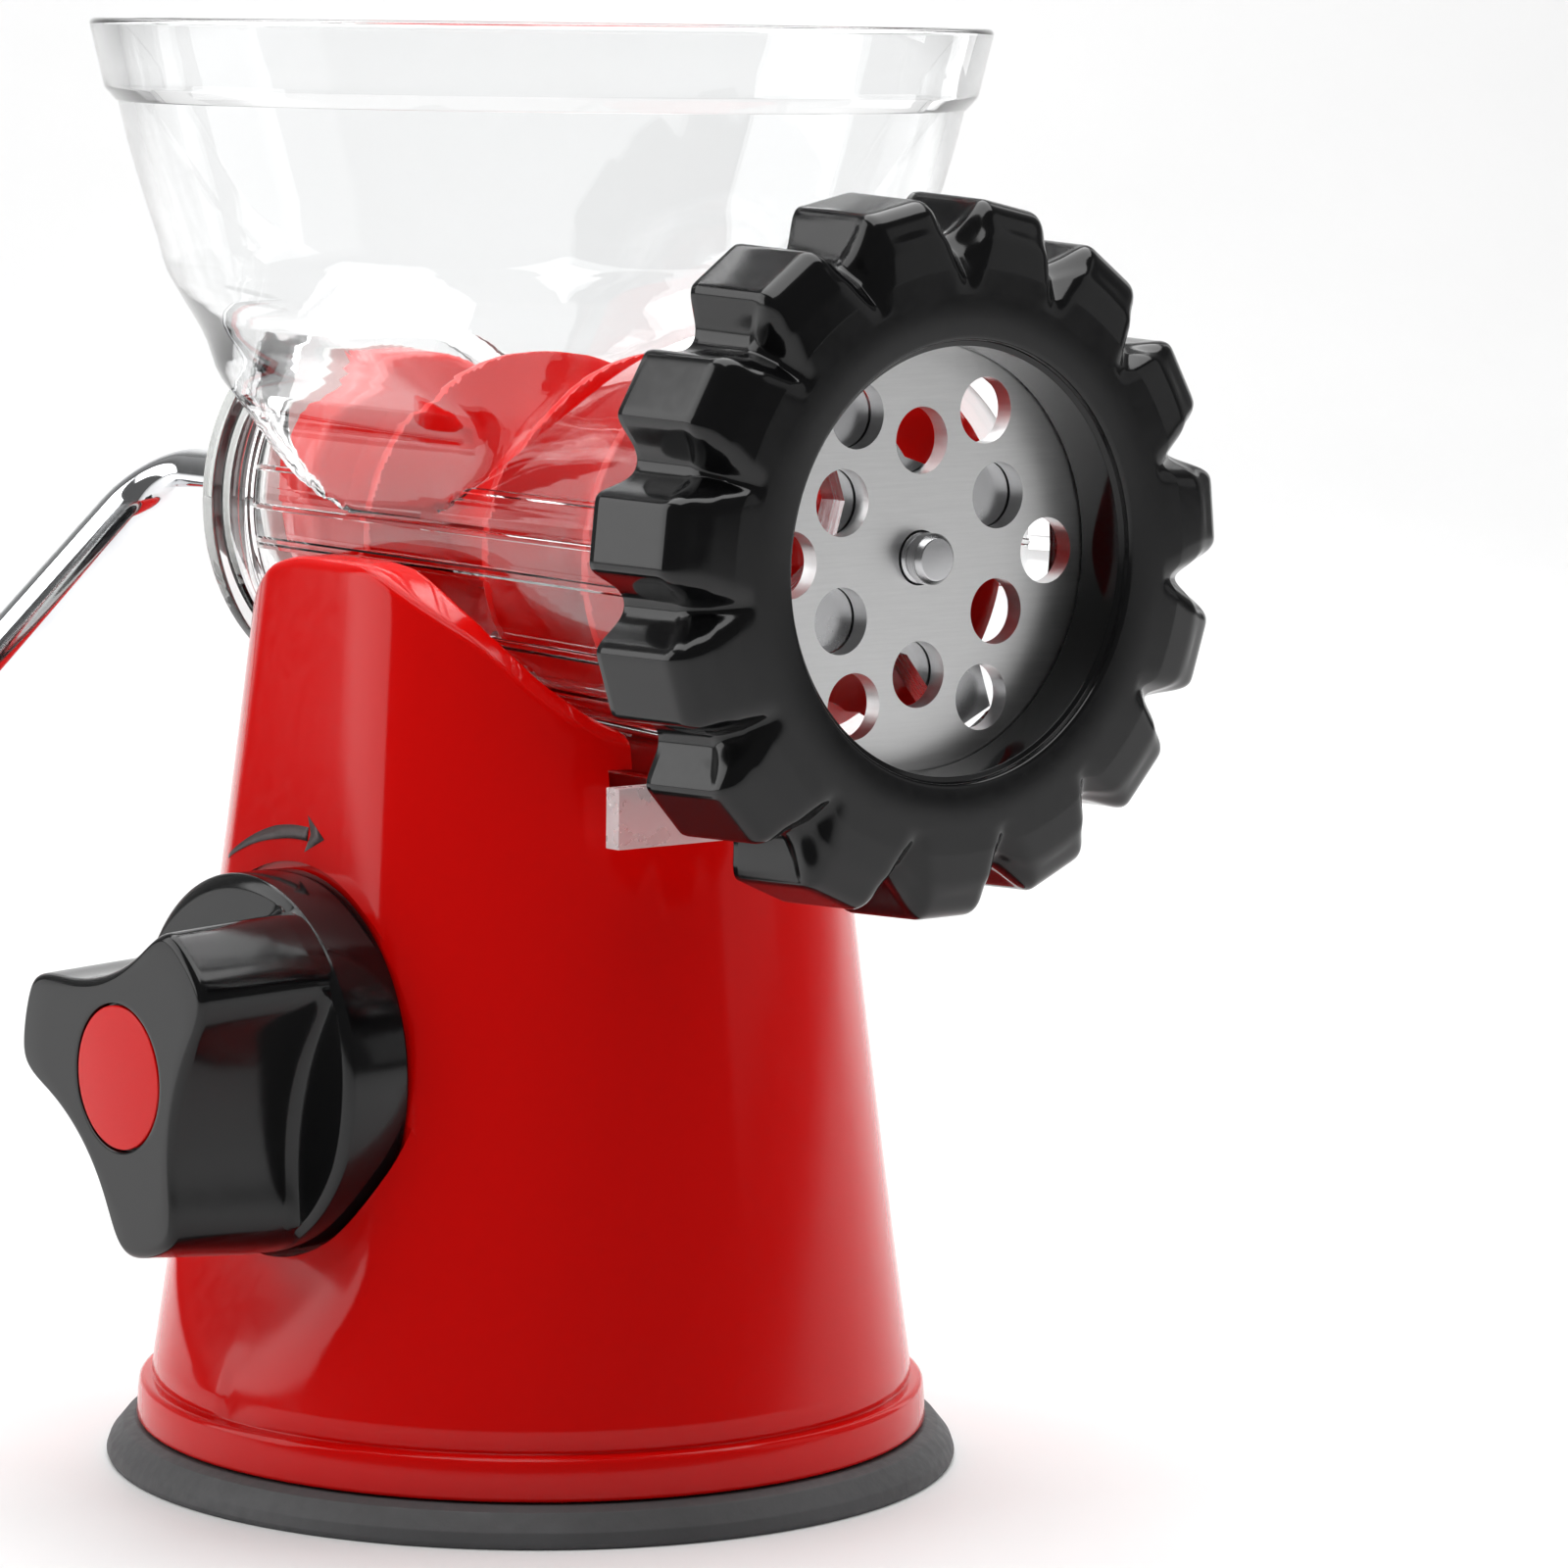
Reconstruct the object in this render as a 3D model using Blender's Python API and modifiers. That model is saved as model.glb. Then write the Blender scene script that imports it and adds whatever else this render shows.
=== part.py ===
"""Hand crank meat grinder on a lever-locked suction base, as separate solids.

Blender 4.5, metres, +Z up. The origin is the centre of the suction cup's underside. The outlet
faces -Y, the crank is at +Y and the locking knob at -X. Dimensions below are in millimetres and
MM turns them into metres. Every turned or lofted piece is made about its own axis (local Z) and
then placed by one of the frames, so its origin lies on the axis that it turns about.
"""

import math

import bmesh
import bpy
from mathutils import Matrix, Vector

MM = 0.001
GAP = 0.3  # play between touching pieces

# Main axes
AXIS_Z = 155.0  # height of the barrel's axis
KNOB_Z = 70.0  # height of the locking knob's axis

# Base shell
BAND_LOW, BAND_HIGH, BAND_R = 6.3, 13.2, 65.1
CONE_LOW, CONE_R = 14.4, 62.6  # where the cone starts, above the groove
EAR_TOP = 149.3
EAR_OUTLINE = [(9, 149.7), (16, 147.2), (24, 142.6), (31, 137.6), (36, 131.8), (43, 124.6), (60, 114.0)]
SIDE_X, SIDE_SLOPE = 56.8, 0.096  # the flat sides' planes
WALL = 2.8
DECK_LOW = 111.0  # underside of the deck that carries the barrel
SADDLE_R = 34.4
TRACK_LOW, TRACK_HIGH, TRACK_HALF = 114.4, 118.8, 19.6
TRACK_MOUTH_HALF = 16.0
TRACK_END = 36.5
RECESS_R, RECESS_X = 31.3, -46.7  # pocket behind the knob
POSTS = [(sx * 27.0, sy * 19.0) for sx in (-1, 1) for sy in (-1, 1)]
POST_R, POST_LOW = 4.4, 50.0

# Suction cup and its lift
CUP_R, CUP_TOP = 70.0, 6.0
STUD_R, FOOT_R = 4.0, 13.0
CAM_R, CAM_THROW = 7.0, 3.0  # the cup's centre rises by the throw in a quarter turn
YOKE_HALF, WINDOW_HALF = 14.0, 10.6
WINDOW_LOW, WINDOW_HIGH = 58.8, 74.7
GUIDE_LOW, GUIDE_HIGH = 46.5, 49.7
SPRING_R, SPRING_WIRE, SPRING_TURNS = 8.0, 0.9, 4
COLLAR_LOW, COLLAR_HIGH = 18.0, 20.0

# Knob, as distances from the base axis towards -X
KNOB_REAR, KNOB_STEP, KNOB_FACE = 47.0, 58.4, 81.3
KNOB_SKIRT_R, KNOB_TIP_R, KNOB_VALLEY_R = 30.2, 28.6, 16.6
KNOB_LOBES, KNOB_PHASE = 3, math.radians(47.0)
KNOB_HOLLOW_R = 46.0  # the arc of each hollow between two lobes
CAP_R = 11.4
SHAFT_R = 4.0

# Barrel and hopper, as distances forward (towards -Y) from the base axis
BARREL_FRONT, PLATE_SEAT, BARREL_REAR = 94.9, 92.2, -48.0
THREAD_R, THREAD_REAR = 39.4, 86.0
BORE_FRONT_R, BORE_REAR_R, BORE_END = 31.0, 27.9, -45.1
OUTER_FRONT_R, OUTER_REAR_R = 33.8, 31.5
FLANGE_R, FLANGE_GROOVE_R = 33.8, 31.8
HOPPER_WALL = 2.6
RIM_TOP, RIM_R = 234.0, 72.8
FOOT_LOW, FOOT_HIGH, FOOT_HALF, STOP_HALF = 114.9, 118.3, 19.0, 27.2
WEB_X, WEB_HALF = 14.0, 1.3
FOOT_FRONT, FOOT_REAR = 54.0, -36.2

# Cutting set and screw
PLATE_R, PLATE_FRONT, PLATE_REAR = 33.4, 95.5, 92.5
EARS, EAR_R, EAR_PITCH_R = 4, 2.7, 34.6
BLADE_R, BLADE_FRONT, BLADE_REAR = 29.6, 92.2, 86.8
AUGER_FRONT, AUGER_REAR, COLLAR_FRONT = 86.5, -40.0, -28.5
AUGER_FRONT_R, AUGER_REAR_R, AUGER_COLLAR_R = 30.2, 25.2, 23.6
CORE_FRONT_R, CORE_REAR_R = 15.2, 13.4
PIN_R, DRIVE_PIN_R, DRIVE_PIN_PITCH_R = 3.9, 2.3, 8.0
DRIVE_PIN_ANGLE = math.radians(28.0)

# Ring nut
NUT_REAR, NUT_FRONT, NUT_R = 85.0, 106.0, 55.1
NUT_LOBES, NUT_PHASE = 15, math.radians(6.2)
NUT_GROOVE = 6.0
NUT_HOLE_R, NUT_BORE_R, NUT_LIP = 32.3, 39.9, 95.8

# Crank
ROD_R, BEND_R = 4.15, 12.0
ARM_Y, ARM_LENGTH, ARM_DROP = 111.0, 130.0, math.radians(42.3)
HUB_FRONT, HUB_REAR = 50.0, 78.0
GRIP_START, GRIP_END, GRIP_R = 126.3, 205.0, 13.5
ROD_END = 199.0


# ---------------------------------------------------------------- scene and materials


def clear_scene():
    for obj in list(bpy.data.objects):
        bpy.data.objects.remove(obj, do_unlink=True)


def new_collection(name):
    collection = bpy.data.collections.new(name)
    bpy.context.scene.collection.children.link(collection)
    return collection


def new_material(name, colour, roughness, metallic=0.0, alpha=1.0):
    material = bpy.data.materials.new(name)
    material.use_nodes = True
    shader = material.node_tree.nodes["Principled BSDF"]
    shader.inputs["Base Color"].default_value = (*colour, 1.0)
    shader.inputs["Roughness"].default_value = roughness
    shader.inputs["Metallic"].default_value = metallic
    shader.inputs["Alpha"].default_value = alpha
    return material


clear_scene()
PARTS = new_collection("meat_grinder")
CUTTERS = new_collection("cutters")
CUTTERS.hide_render = True

RED = new_material("red_plastic", (0.62, 0.01, 0.01), 0.25)
BLACK = new_material("black_plastic", (0.02, 0.02, 0.02), 0.25)
CLEAR = new_material("clear_plastic", (0.93, 0.95, 0.96), 0.05, alpha=0.3)
WHITE = new_material("white_plastic", (0.85, 0.85, 0.84), 0.35)
RUBBER = new_material("dark_rubber", (0.07, 0.07, 0.075), 0.7)
STEEL = new_material("brushed_steel", (0.55, 0.55, 0.55), 0.3, 1.0)
CHROME = new_material("chrome", (0.85, 0.85, 0.86), 0.08, 1.0)


# ---------------------------------------------------------------- frames


def upright(x=0.0, y=0.0):
    """Local Z is world Z."""
    return Matrix.Translation(Vector((x, y, 0.0)) * MM)


def along_barrel(x=0.0, z=AXIS_Z):
    """Local Z points forward (-Y), local X is world X and local Y is world Z."""
    turn = Matrix(((1, 0, 0, 0), (0, 0, -1, 0), (0, 1, 0, 0), (0, 0, 0, 1)))
    return Matrix.Translation(Vector((x, 0.0, z)) * MM) @ turn


def along_knob():
    """Local Z points out of the knob (-X), local X is world -Y and local Y is world Z."""
    turn = Matrix(((0, 0, -1, 0), (-1, 0, 0, 0), (0, 1, 0, 0), (0, 0, 0, 1)))
    return Matrix.Translation(Vector((0.0, 0.0, KNOB_Z)) * MM) @ turn


# ---------------------------------------------------------------- modelling helpers


def add_object(name, data, frame, material):
    """A part with its material, or a hidden cutter when there is no material."""
    obj = bpy.data.objects.new(name, data)
    obj.matrix_world = frame
    if material is None:
        CUTTERS.objects.link(obj)
        obj.hide_render = True
        obj.display_type = "WIRE"
    else:
        PARTS.objects.link(obj)
        data.materials.append(material)
    return obj


def smooth_sharp(mesh):
    mesh.shade_smooth()
    mesh.set_sharp_from_angle(angle=math.radians(35))


def turned(name, profile, frame, material, steps=32, ring=False):
    """A profile of (radius, height) points, down its outer side, turned about local Z."""
    mesh = bpy.data.meshes.new(name)
    points = [(radius * MM, 0.0, height * MM) for radius, height in profile]
    edges = [(i, i + 1) for i in range(len(points) - 1)]
    if ring:
        edges.append((len(points) - 1, 0))
    mesh.from_pydata(points, edges, [])
    obj = add_object(name, mesh, frame, material)
    screw = obj.modifiers.new("turn", "SCREW")
    screw.axis = "Z"
    screw.angle = 2 * math.pi
    screw.steps = screw.render_steps = steps
    screw.use_merge_vertices = True
    screw.merge_threshold = 0.00001
    screw.use_smooth_shade = False
    return obj


def loft(name, rings, frame, material, wrap=False):
    """Skins rings of (x, y, z) points. The ends are capped, or joined when wrap is set."""
    mesh = bpy.data.meshes.new(name)
    built = bmesh.new()
    loops = [[built.verts.new(Vector(p) * MM) for p in ring] for ring in rings]
    pairs = list(zip(loops, loops[1:]))
    if wrap:
        pairs.append((loops[-1], loops[0]))
    for low, high in pairs:
        for i in range(len(low)):
            j = (i + 1) % len(low)
            built.faces.new((low[i], low[j], high[j], high[i]))
    if not wrap:
        built.faces.new(loops[0])
        built.faces.new(loops[-1])
    bmesh.ops.recalc_face_normals(built, faces=built.faces)
    built.to_mesh(mesh)
    built.free()
    smooth_sharp(mesh)
    return add_object(name, mesh, frame, material)


def circle_ring(radius, height, steps):
    """A ring about local Z. radius is a number or a function of the angle."""
    ring = []
    for i in range(steps):
        angle = 2 * math.pi * i / steps
        r = radius(angle) if callable(radius) else radius
        ring.append((r * math.cos(angle), r * math.sin(angle), height))
    return ring


def box(name, low, high, frame, material):
    mesh = bpy.data.meshes.new(name)
    built = bmesh.new()
    size = [b - a for a, b in zip(low, high)]
    centre = [(a + b) / 2 for a, b in zip(low, high)]
    place = Matrix.Translation(Vector(centre) * MM) @ Matrix.Diagonal((*[s * MM for s in size], 1.0))
    bmesh.ops.create_cube(built, size=1.0, matrix=place)
    built.to_mesh(mesh)
    built.free()
    return add_object(name, mesh, frame, material)


def cylinder(name, radius, low, high, frame, material, x=0.0, y=0.0, steps=32):
    """A cylinder parallel to local Z, centred on (x, y)."""
    mesh = bpy.data.meshes.new(name)
    built = bmesh.new()
    place = Matrix.Translation(Vector((x, y, (low + high) / 2)) * MM)
    bmesh.ops.create_cone(
        built, cap_ends=True, segments=steps, radius1=radius * MM, radius2=radius * MM,
        depth=(high - low) * MM, matrix=place,
    )
    built.to_mesh(mesh)
    built.free()
    if material:
        smooth_sharp(mesh)
    return add_object(name, mesh, frame, material)


def boolean(obj, other, operation="DIFFERENCE"):
    """Cuts, joins or trims obj by a hidden object."""
    modifier = obj.modifiers.new(operation.lower() + "_" + other.name, "BOOLEAN")
    modifier.operation = operation
    modifier.object = other
    return obj


def flat_outline(name, outlines, thickness, height, frame, material):
    """Outlines of (x, y) points, the outer one first and its holes after it, made thickness deep."""
    curve = bpy.data.curves.new(name, "CURVE")
    curve.dimensions = "2D"
    curve.fill_mode = "BOTH"
    curve.extrude = thickness / 2 * MM
    for outline in outlines:
        spline = curve.splines.new("POLY")
        spline.points.add(len(outline) - 1)
        for point, (x, y) in zip(spline.points, outline):
            point.co = (x * MM, y * MM, 0.0, 1.0)
        spline.use_cyclic_u = True
    place = frame @ Matrix.Translation((0.0, 0.0, height * MM))
    obj = bpy.data.objects.new(name, curve)
    bpy.context.scene.collection.objects.link(obj)
    bpy.context.view_layer.update()
    mesh = bpy.data.meshes.new_from_object(obj.evaluated_get(bpy.context.evaluated_depsgraph_get()))
    bpy.data.objects.remove(obj, do_unlink=True)
    welded = bmesh.new()
    welded.from_mesh(mesh)
    bmesh.ops.remove_doubles(welded, verts=welded.verts, dist=0.000001)
    bmesh.ops.recalc_face_normals(welded, faces=welded.faces)
    welded.to_mesh(mesh)
    welded.free()
    mesh.name = name
    return add_object(name, mesh, place, material)


def tube(name, points, radius, material, sides=3):
    """A round bar along world points in millimetres."""
    curve = bpy.data.curves.new(name, "CURVE")
    curve.dimensions = "3D"
    curve.bevel_depth = radius * MM
    curve.bevel_resolution = sides
    curve.use_fill_caps = True
    spline = curve.splines.new("POLY")
    spline.points.add(len(points) - 1)
    for knot, point in zip(spline.points, points):
        knot.co = (*(Vector(point) * MM), 1.0)
    return add_object(name, curve, Matrix.Identity(4), material)


def circle_points(x, y, radius, steps):
    turns = [2 * math.pi * i / steps for i in range(steps)]
    return [(x + radius * math.cos(a), y + radius * math.sin(a)) for a in turns]


def blend(a, b, t):
    return a + (b - a) * t


# ---------------------------------------------------------------- base


def cone_radius(z):
    """The shell's outer radius above the band: a cone whose side eases in towards the top."""
    rise = z - CONE_LOW
    return CONE_R - 0.146 * rise + 0.00012 * rise * rise


def side_half_width(z):
    """Half the width across the two flat sides, which grow out of the cone."""
    share = min(1.0, max(0.0, (z - CONE_LOW) / 30.0))
    return blend(cone_radius(z), SIDE_X - SIDE_SLOPE * z, share * share * (3 - 2 * share))


def shell_ring(z, inset=0.0, steps=48):
    radius = cone_radius(z) - inset
    limit = side_half_width(z) - inset
    ring = []
    for x, y, height in circle_ring(radius, z, steps):
        ring.append((max(-limit, min(limit, x)), y, height))
    return ring


def knob_pad(name, radius, rear, front):
    return cylinder(name, radius, rear, front, along_knob(), None, steps=40)


def make_base_shell():
    rings = [
        circle_ring(BAND_R, BAND_LOW, 48),
        circle_ring(BAND_R - 0.6, BAND_HIGH - 0.6, 48),
        circle_ring(BAND_R - 1.4, BAND_HIGH, 48),
        circle_ring(CONE_R - 0.2, BAND_HIGH + 0.2, 48),
    ]
    rings += [shell_ring(z) for z in (CONE_LOW, 30.0, 45.0, 100.0, EAR_TOP)]
    shell = loft("base_shell", rings, upright(), RED)

    inside = [circle_ring(CONE_R - WALL, BAND_LOW - 1.0, 48)]
    inside += [shell_ring(z, WALL) for z in (CONE_LOW, 30.0, 45.0, DECK_LOW)]
    cavity = loft("cut_cavity", inside, upright(), None)
    boolean(cavity, knob_pad("cut_cavity_pad", RECESS_R + WALL, -RECESS_X - WALL, 70.0))
    boolean(shell, cavity)

    boolean(shell, cylinder("cut_saddle", SADDLE_R, -80, 80, along_barrel(), None, steps=48))
    over = [(y, z - KNOB_Z) for y, z in EAR_OUTLINE]
    over += [(60, 100)] + [(-60, 100)] + [(-y, z - KNOB_Z) for y, z in reversed(EAR_OUTLINE)]
    boolean(shell, flat_outline("cut_ears", [over], 140, 0.0, along_knob(), None))
    low, high = (-TRACK_HALF, -80, TRACK_LOW), (TRACK_HALF, TRACK_END, TRACK_HIGH)
    track = box("cut_track", low, high, upright(), None)
    mouth = (-TRACK_MOUTH_HALF, -80, TRACK_HIGH - 1), (TRACK_MOUTH_HALF, TRACK_END, 136)
    boolean(shell, track)
    boolean(shell, box("cut_track_mouth", *mouth, upright(), None))
    boolean(shell, knob_pad("cut_recess", RECESS_R, -RECESS_X, 90.0))
    boolean(shell, knob_pad("cut_shaft_hole", 6.3, 35.0, 60.0))
    for i, (x, y) in enumerate(POSTS):
        post = cylinder(f"add_post_{i}", POST_R, POST_LOW, DECK_LOW + 1.5, upright(), None, x, y, 14)
        boolean(shell, post, "UNION")
        hole = cylinder(f"cut_post_{i}", 1.8, POST_LOW - 2, POST_LOW + 14, upright(), None, x, y, 10)
        boolean(shell, hole)


def make_suction_cup():
    pocket = FOOT_R + 0.5
    profile = [
        (0, 3.2), (pocket, 3.2), (pocket, 8.5), (17.5, 8.5), (19.5, 3.6), (56, 3.6), (60, CUP_TOP),
        (65.6, CUP_TOP), (67.6, 5.0), (CUP_R, 1.4), (69.2, 0), (0, 0),
    ]
    turned("suction_cup", profile, upright(), RUBBER, 44)


def make_cup_stud():
    """A foot in the cup, a stem, and a yoke whose window the cam turns in."""
    stem = [(0, 56), (STUD_R, 56), (STUD_R, 5.5), (FOOT_R, 5.5), (FOOT_R, 3.5), (0, 3.5)]
    stud = turned("cup_stud", stem, upright(), STEEL, 24)
    low, high = (-3.0, -YOKE_HALF, 54.0), (3.0, YOKE_HALF, 80.0)
    boolean(stud, box("add_yoke", low, high, upright(), None), "UNION")
    low, high = (-5.0, -WINDOW_HALF, WINDOW_LOW), (5.0, WINDOW_HALF, WINDOW_HIGH)
    boolean(stud, box("cut_yoke", low, high, upright(), None))


def make_spring_stack():
    hole = STUD_R + GAP
    ring = [(hole, COLLAR_HIGH), (10, COLLAR_HIGH), (10, COLLAR_LOW), (hole, COLLAR_LOW)]
    turned("spring_collar", ring, upright(), STEEL, 24, ring=True)
    low, high = COLLAR_LOW - GAP - 5, COLLAR_LOW - GAP
    flats = circle_points(0, 0, 7.5, 6)
    outlines = [flats, circle_points(0, 0, hole, 20)]
    flat_outline("stud_nut", outlines, high - low, (low + high) / 2, upright(), STEEL)
    low, high = COLLAR_HIGH + GAP + SPRING_WIRE, GUIDE_LOW - GAP - SPRING_WIRE
    count = SPRING_TURNS * 12
    points = []
    for i in range(count + 1):
        angle = 2 * math.pi * SPRING_TURNS * i / count
        height = blend(low, high, i / count)
        points.append((SPRING_R * math.cos(angle), SPRING_R * math.sin(angle), height))
    tube("lift_spring", points, SPRING_WIRE, STEEL, 1)


def make_lift_guide():
    """The plate that guides the stem, with two lugs that carry the cam shaft."""
    holes = [circle_points(0, 0, STUD_R + GAP, 16)] + [circle_points(x, y, 1.8, 8) for x, y in POSTS]
    plate = [circle_points(0, 0, 40, 28)] + holes
    thickness = GUIDE_HIGH - GUIDE_LOW
    guide = flat_outline("lift_guide", plate, thickness, (GUIDE_LOW + GUIDE_HIGH) / 2, upright(), WHITE)
    for i, side in enumerate((-1, 1)):
        ends = sorted((side * 9.0, side * 13.0))
        low, high = (ends[0], -8.0, GUIDE_HIGH - 1), (ends[1], 8.0, 79.0)
        boolean(guide, box(f"add_lug_{i}", low, high, upright(), None), "UNION")
    boolean(guide, cylinder("cut_lugs", SHAFT_R + GAP, -20, 20, along_knob(), None, steps=16))


def make_guide_screws():
    for i, (x, y) in enumerate(POSTS):
        head = GUIDE_LOW - GAP
        profile = [(0, head + 15), (1.5, head + 15), (1.5, head), (3.6, head), (3.6, head - 2), (0, head - 2)]
        turned(f"guide_screw_{i + 1}", profile, upright(x, y), STEEL, 10)


# ---------------------------------------------------------------- knob and cam


def knob_radius(tip, valley):
    """The radius of the handle at an angle: wide lobes with a round hollow between each two."""
    pitch = 2 * math.pi / KNOB_LOBES
    centre = valley + KNOB_HOLLOW_R

    def radius(angle):
        away = math.remainder(angle - KNOB_PHASE - pitch / 2, pitch)
        inside = KNOB_HOLLOW_R**2 - (centre * math.sin(away)) ** 2
        if inside <= 0:
            return tip
        return min(tip, centre * math.cos(away) - math.sqrt(inside))

    return radius


def make_knob():
    steps = 48
    bore = SHAFT_R + GAP
    sections = [
        (KNOB_REAR, KNOB_SKIRT_R),
        (KNOB_STEP, KNOB_SKIRT_R - 1.4),
        (KNOB_STEP + 0.2, knob_radius(KNOB_TIP_R - 0.3, KNOB_VALLEY_R + 3.2)),
        (KNOB_STEP + 3.0, knob_radius(KNOB_TIP_R, KNOB_VALLEY_R + 0.6)),
        (KNOB_FACE - 1.5, knob_radius(KNOB_TIP_R, KNOB_VALLEY_R)),
        (KNOB_FACE, knob_radius(KNOB_TIP_R - 1.6, KNOB_VALLEY_R - 1.4)),
        (KNOB_FACE, CAP_R + GAP),
        (KNOB_FACE - 1.5, CAP_R + GAP),
        (KNOB_FACE - 1.5, 5.0),
        (KNOB_FACE - 6.3, 5.0),
        (KNOB_FACE - 6.3, 1.7),
        (KNOB_FACE - 7.0, 1.7),
        (KNOB_FACE - 7.0, bore),
        (KNOB_REAR, bore),
    ]
    rings = [circle_ring(radius, height, steps) for height, radius in sections]
    loft("lock_knob", rings, along_knob(), BLACK, wrap=True)


def make_knob_fittings():
    face = KNOB_FACE
    cap = [(0, face), (CAP_R - 0.5, face), (CAP_R, face - 0.4), (CAP_R, face - 1.2), (0, face - 1.2)]
    turned("knob_cap", cap, along_knob(), RED, 30)
    seat = face - 6.0
    screw = [
        (0, seat + 2.2), (3.4, seat + 2.2), (4.2, seat + 1.4), (4.2, seat),
        (1.3, seat), (1.3, seat - 9), (0, seat - 9),
    ]
    turned("knob_screw", screw, along_knob(), STEEL, 10)


def make_cam_shaft():
    end = KNOB_FACE - 7.3
    profile = [
        (0, end - 12), (1.6, end - 12), (1.6, end), (SHAFT_R, end), (SHAFT_R, -13.4), (3.3, -13.4),
        (3.3, -14.8), (SHAFT_R, -14.8), (SHAFT_R, -16.5), (0, -16.5),
    ]
    turned("cam_shaft", profile, along_knob(), STEEL, 16)
    clip = [(3.6, -13.7), (6.5, -13.7), (6.5, -14.5), (3.6, -14.5)]
    turned("shaft_clip", clip, along_knob(), STEEL, 14, ring=True)
    outer = circle_points(0, -CAM_THROW, CAM_R, 28)
    hole = circle_points(0, 0, SHAFT_R + GAP / 2, 16)
    flat_outline("lift_cam", [outer, hole], 5.2, 0.0, along_knob(), WHITE)


def make_knob_bush():
    inner, wall = -RECESS_X - WALL, -RECESS_X - GAP
    bore = SHAFT_R + GAP
    profile = [
        (bore, wall), (6.0, wall), (6.0, inner - GAP),
        (9.0, inner - GAP), (9.0, inner - 1.8), (bore, inner - 1.8),
    ]
    turned("knob_bush", profile, along_knob(), WHITE, 18, ring=True)


# ---------------------------------------------------------------- barrel and hopper


def rounded_rectangle(half_x, half_y, radius, height, steps):
    """A ring of steps points, evenly spread in angle, on a rectangle with round corners."""
    radius = min(radius, half_x, half_y)
    core_x, core_y = half_x - radius, half_y - radius
    ring = []
    for i in range(steps):
        angle = 2 * math.pi * i / steps
        c, s = math.cos(angle), math.sin(angle)
        reach_x = half_x / abs(c) if abs(c) > 1e-9 else math.inf
        reach_y = half_y / abs(s) if abs(s) > 1e-9 else math.inf
        reach = min(reach_x, reach_y)
        x, y = reach * c, reach * s
        if abs(x) > core_x and abs(y) > core_y:
            along = abs(c) * core_x + abs(s) * core_y
            reach = along + math.sqrt(max(0.0, along * along - core_x**2 - core_y**2 + radius**2))
            x, y = reach * c, reach * s
        ring.append((x, y, height))
    return ring


# Height, half width across the barrel, half width along it, corner radius
HOPPER_SECTIONS = [
    (150.0, 30.0, 9.0, 4.0),
    (154.0, 31.2, 13.0, 4.0),
    (161.0, 33.0, 26.5, 6.0),
    (171.5, 36.5, 40.0, 12.0),
    (176.0, 41.0, 44.5, 19.0),
    (183.0, 47.5, 50.0, 34.0),
    (191.5, 58.8, 58.8, 58.8),
    (200.0, 62.0, 62.0, 62.0),
    (213.0, 66.1, 66.1, 66.1),
    (RIM_TOP, 70.9, 70.9, 70.9),
]


def hopper_rings(inset, steps, top):
    """The bowl's sections, moved in by inset, from inside the barrel up to the height top."""
    rings = []
    for height, half_x, half_y, corner in HOPPER_SECTIONS:
        if height == RIM_TOP:
            height = top
        corner = max(1.0, corner - inset)
        half_x -= inset + (0.8 if inset and height < AXIS_Z else 0.0)
        rings.append(rounded_rectangle(half_x, half_y - inset, corner, height, steps))
    return rings


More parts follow.
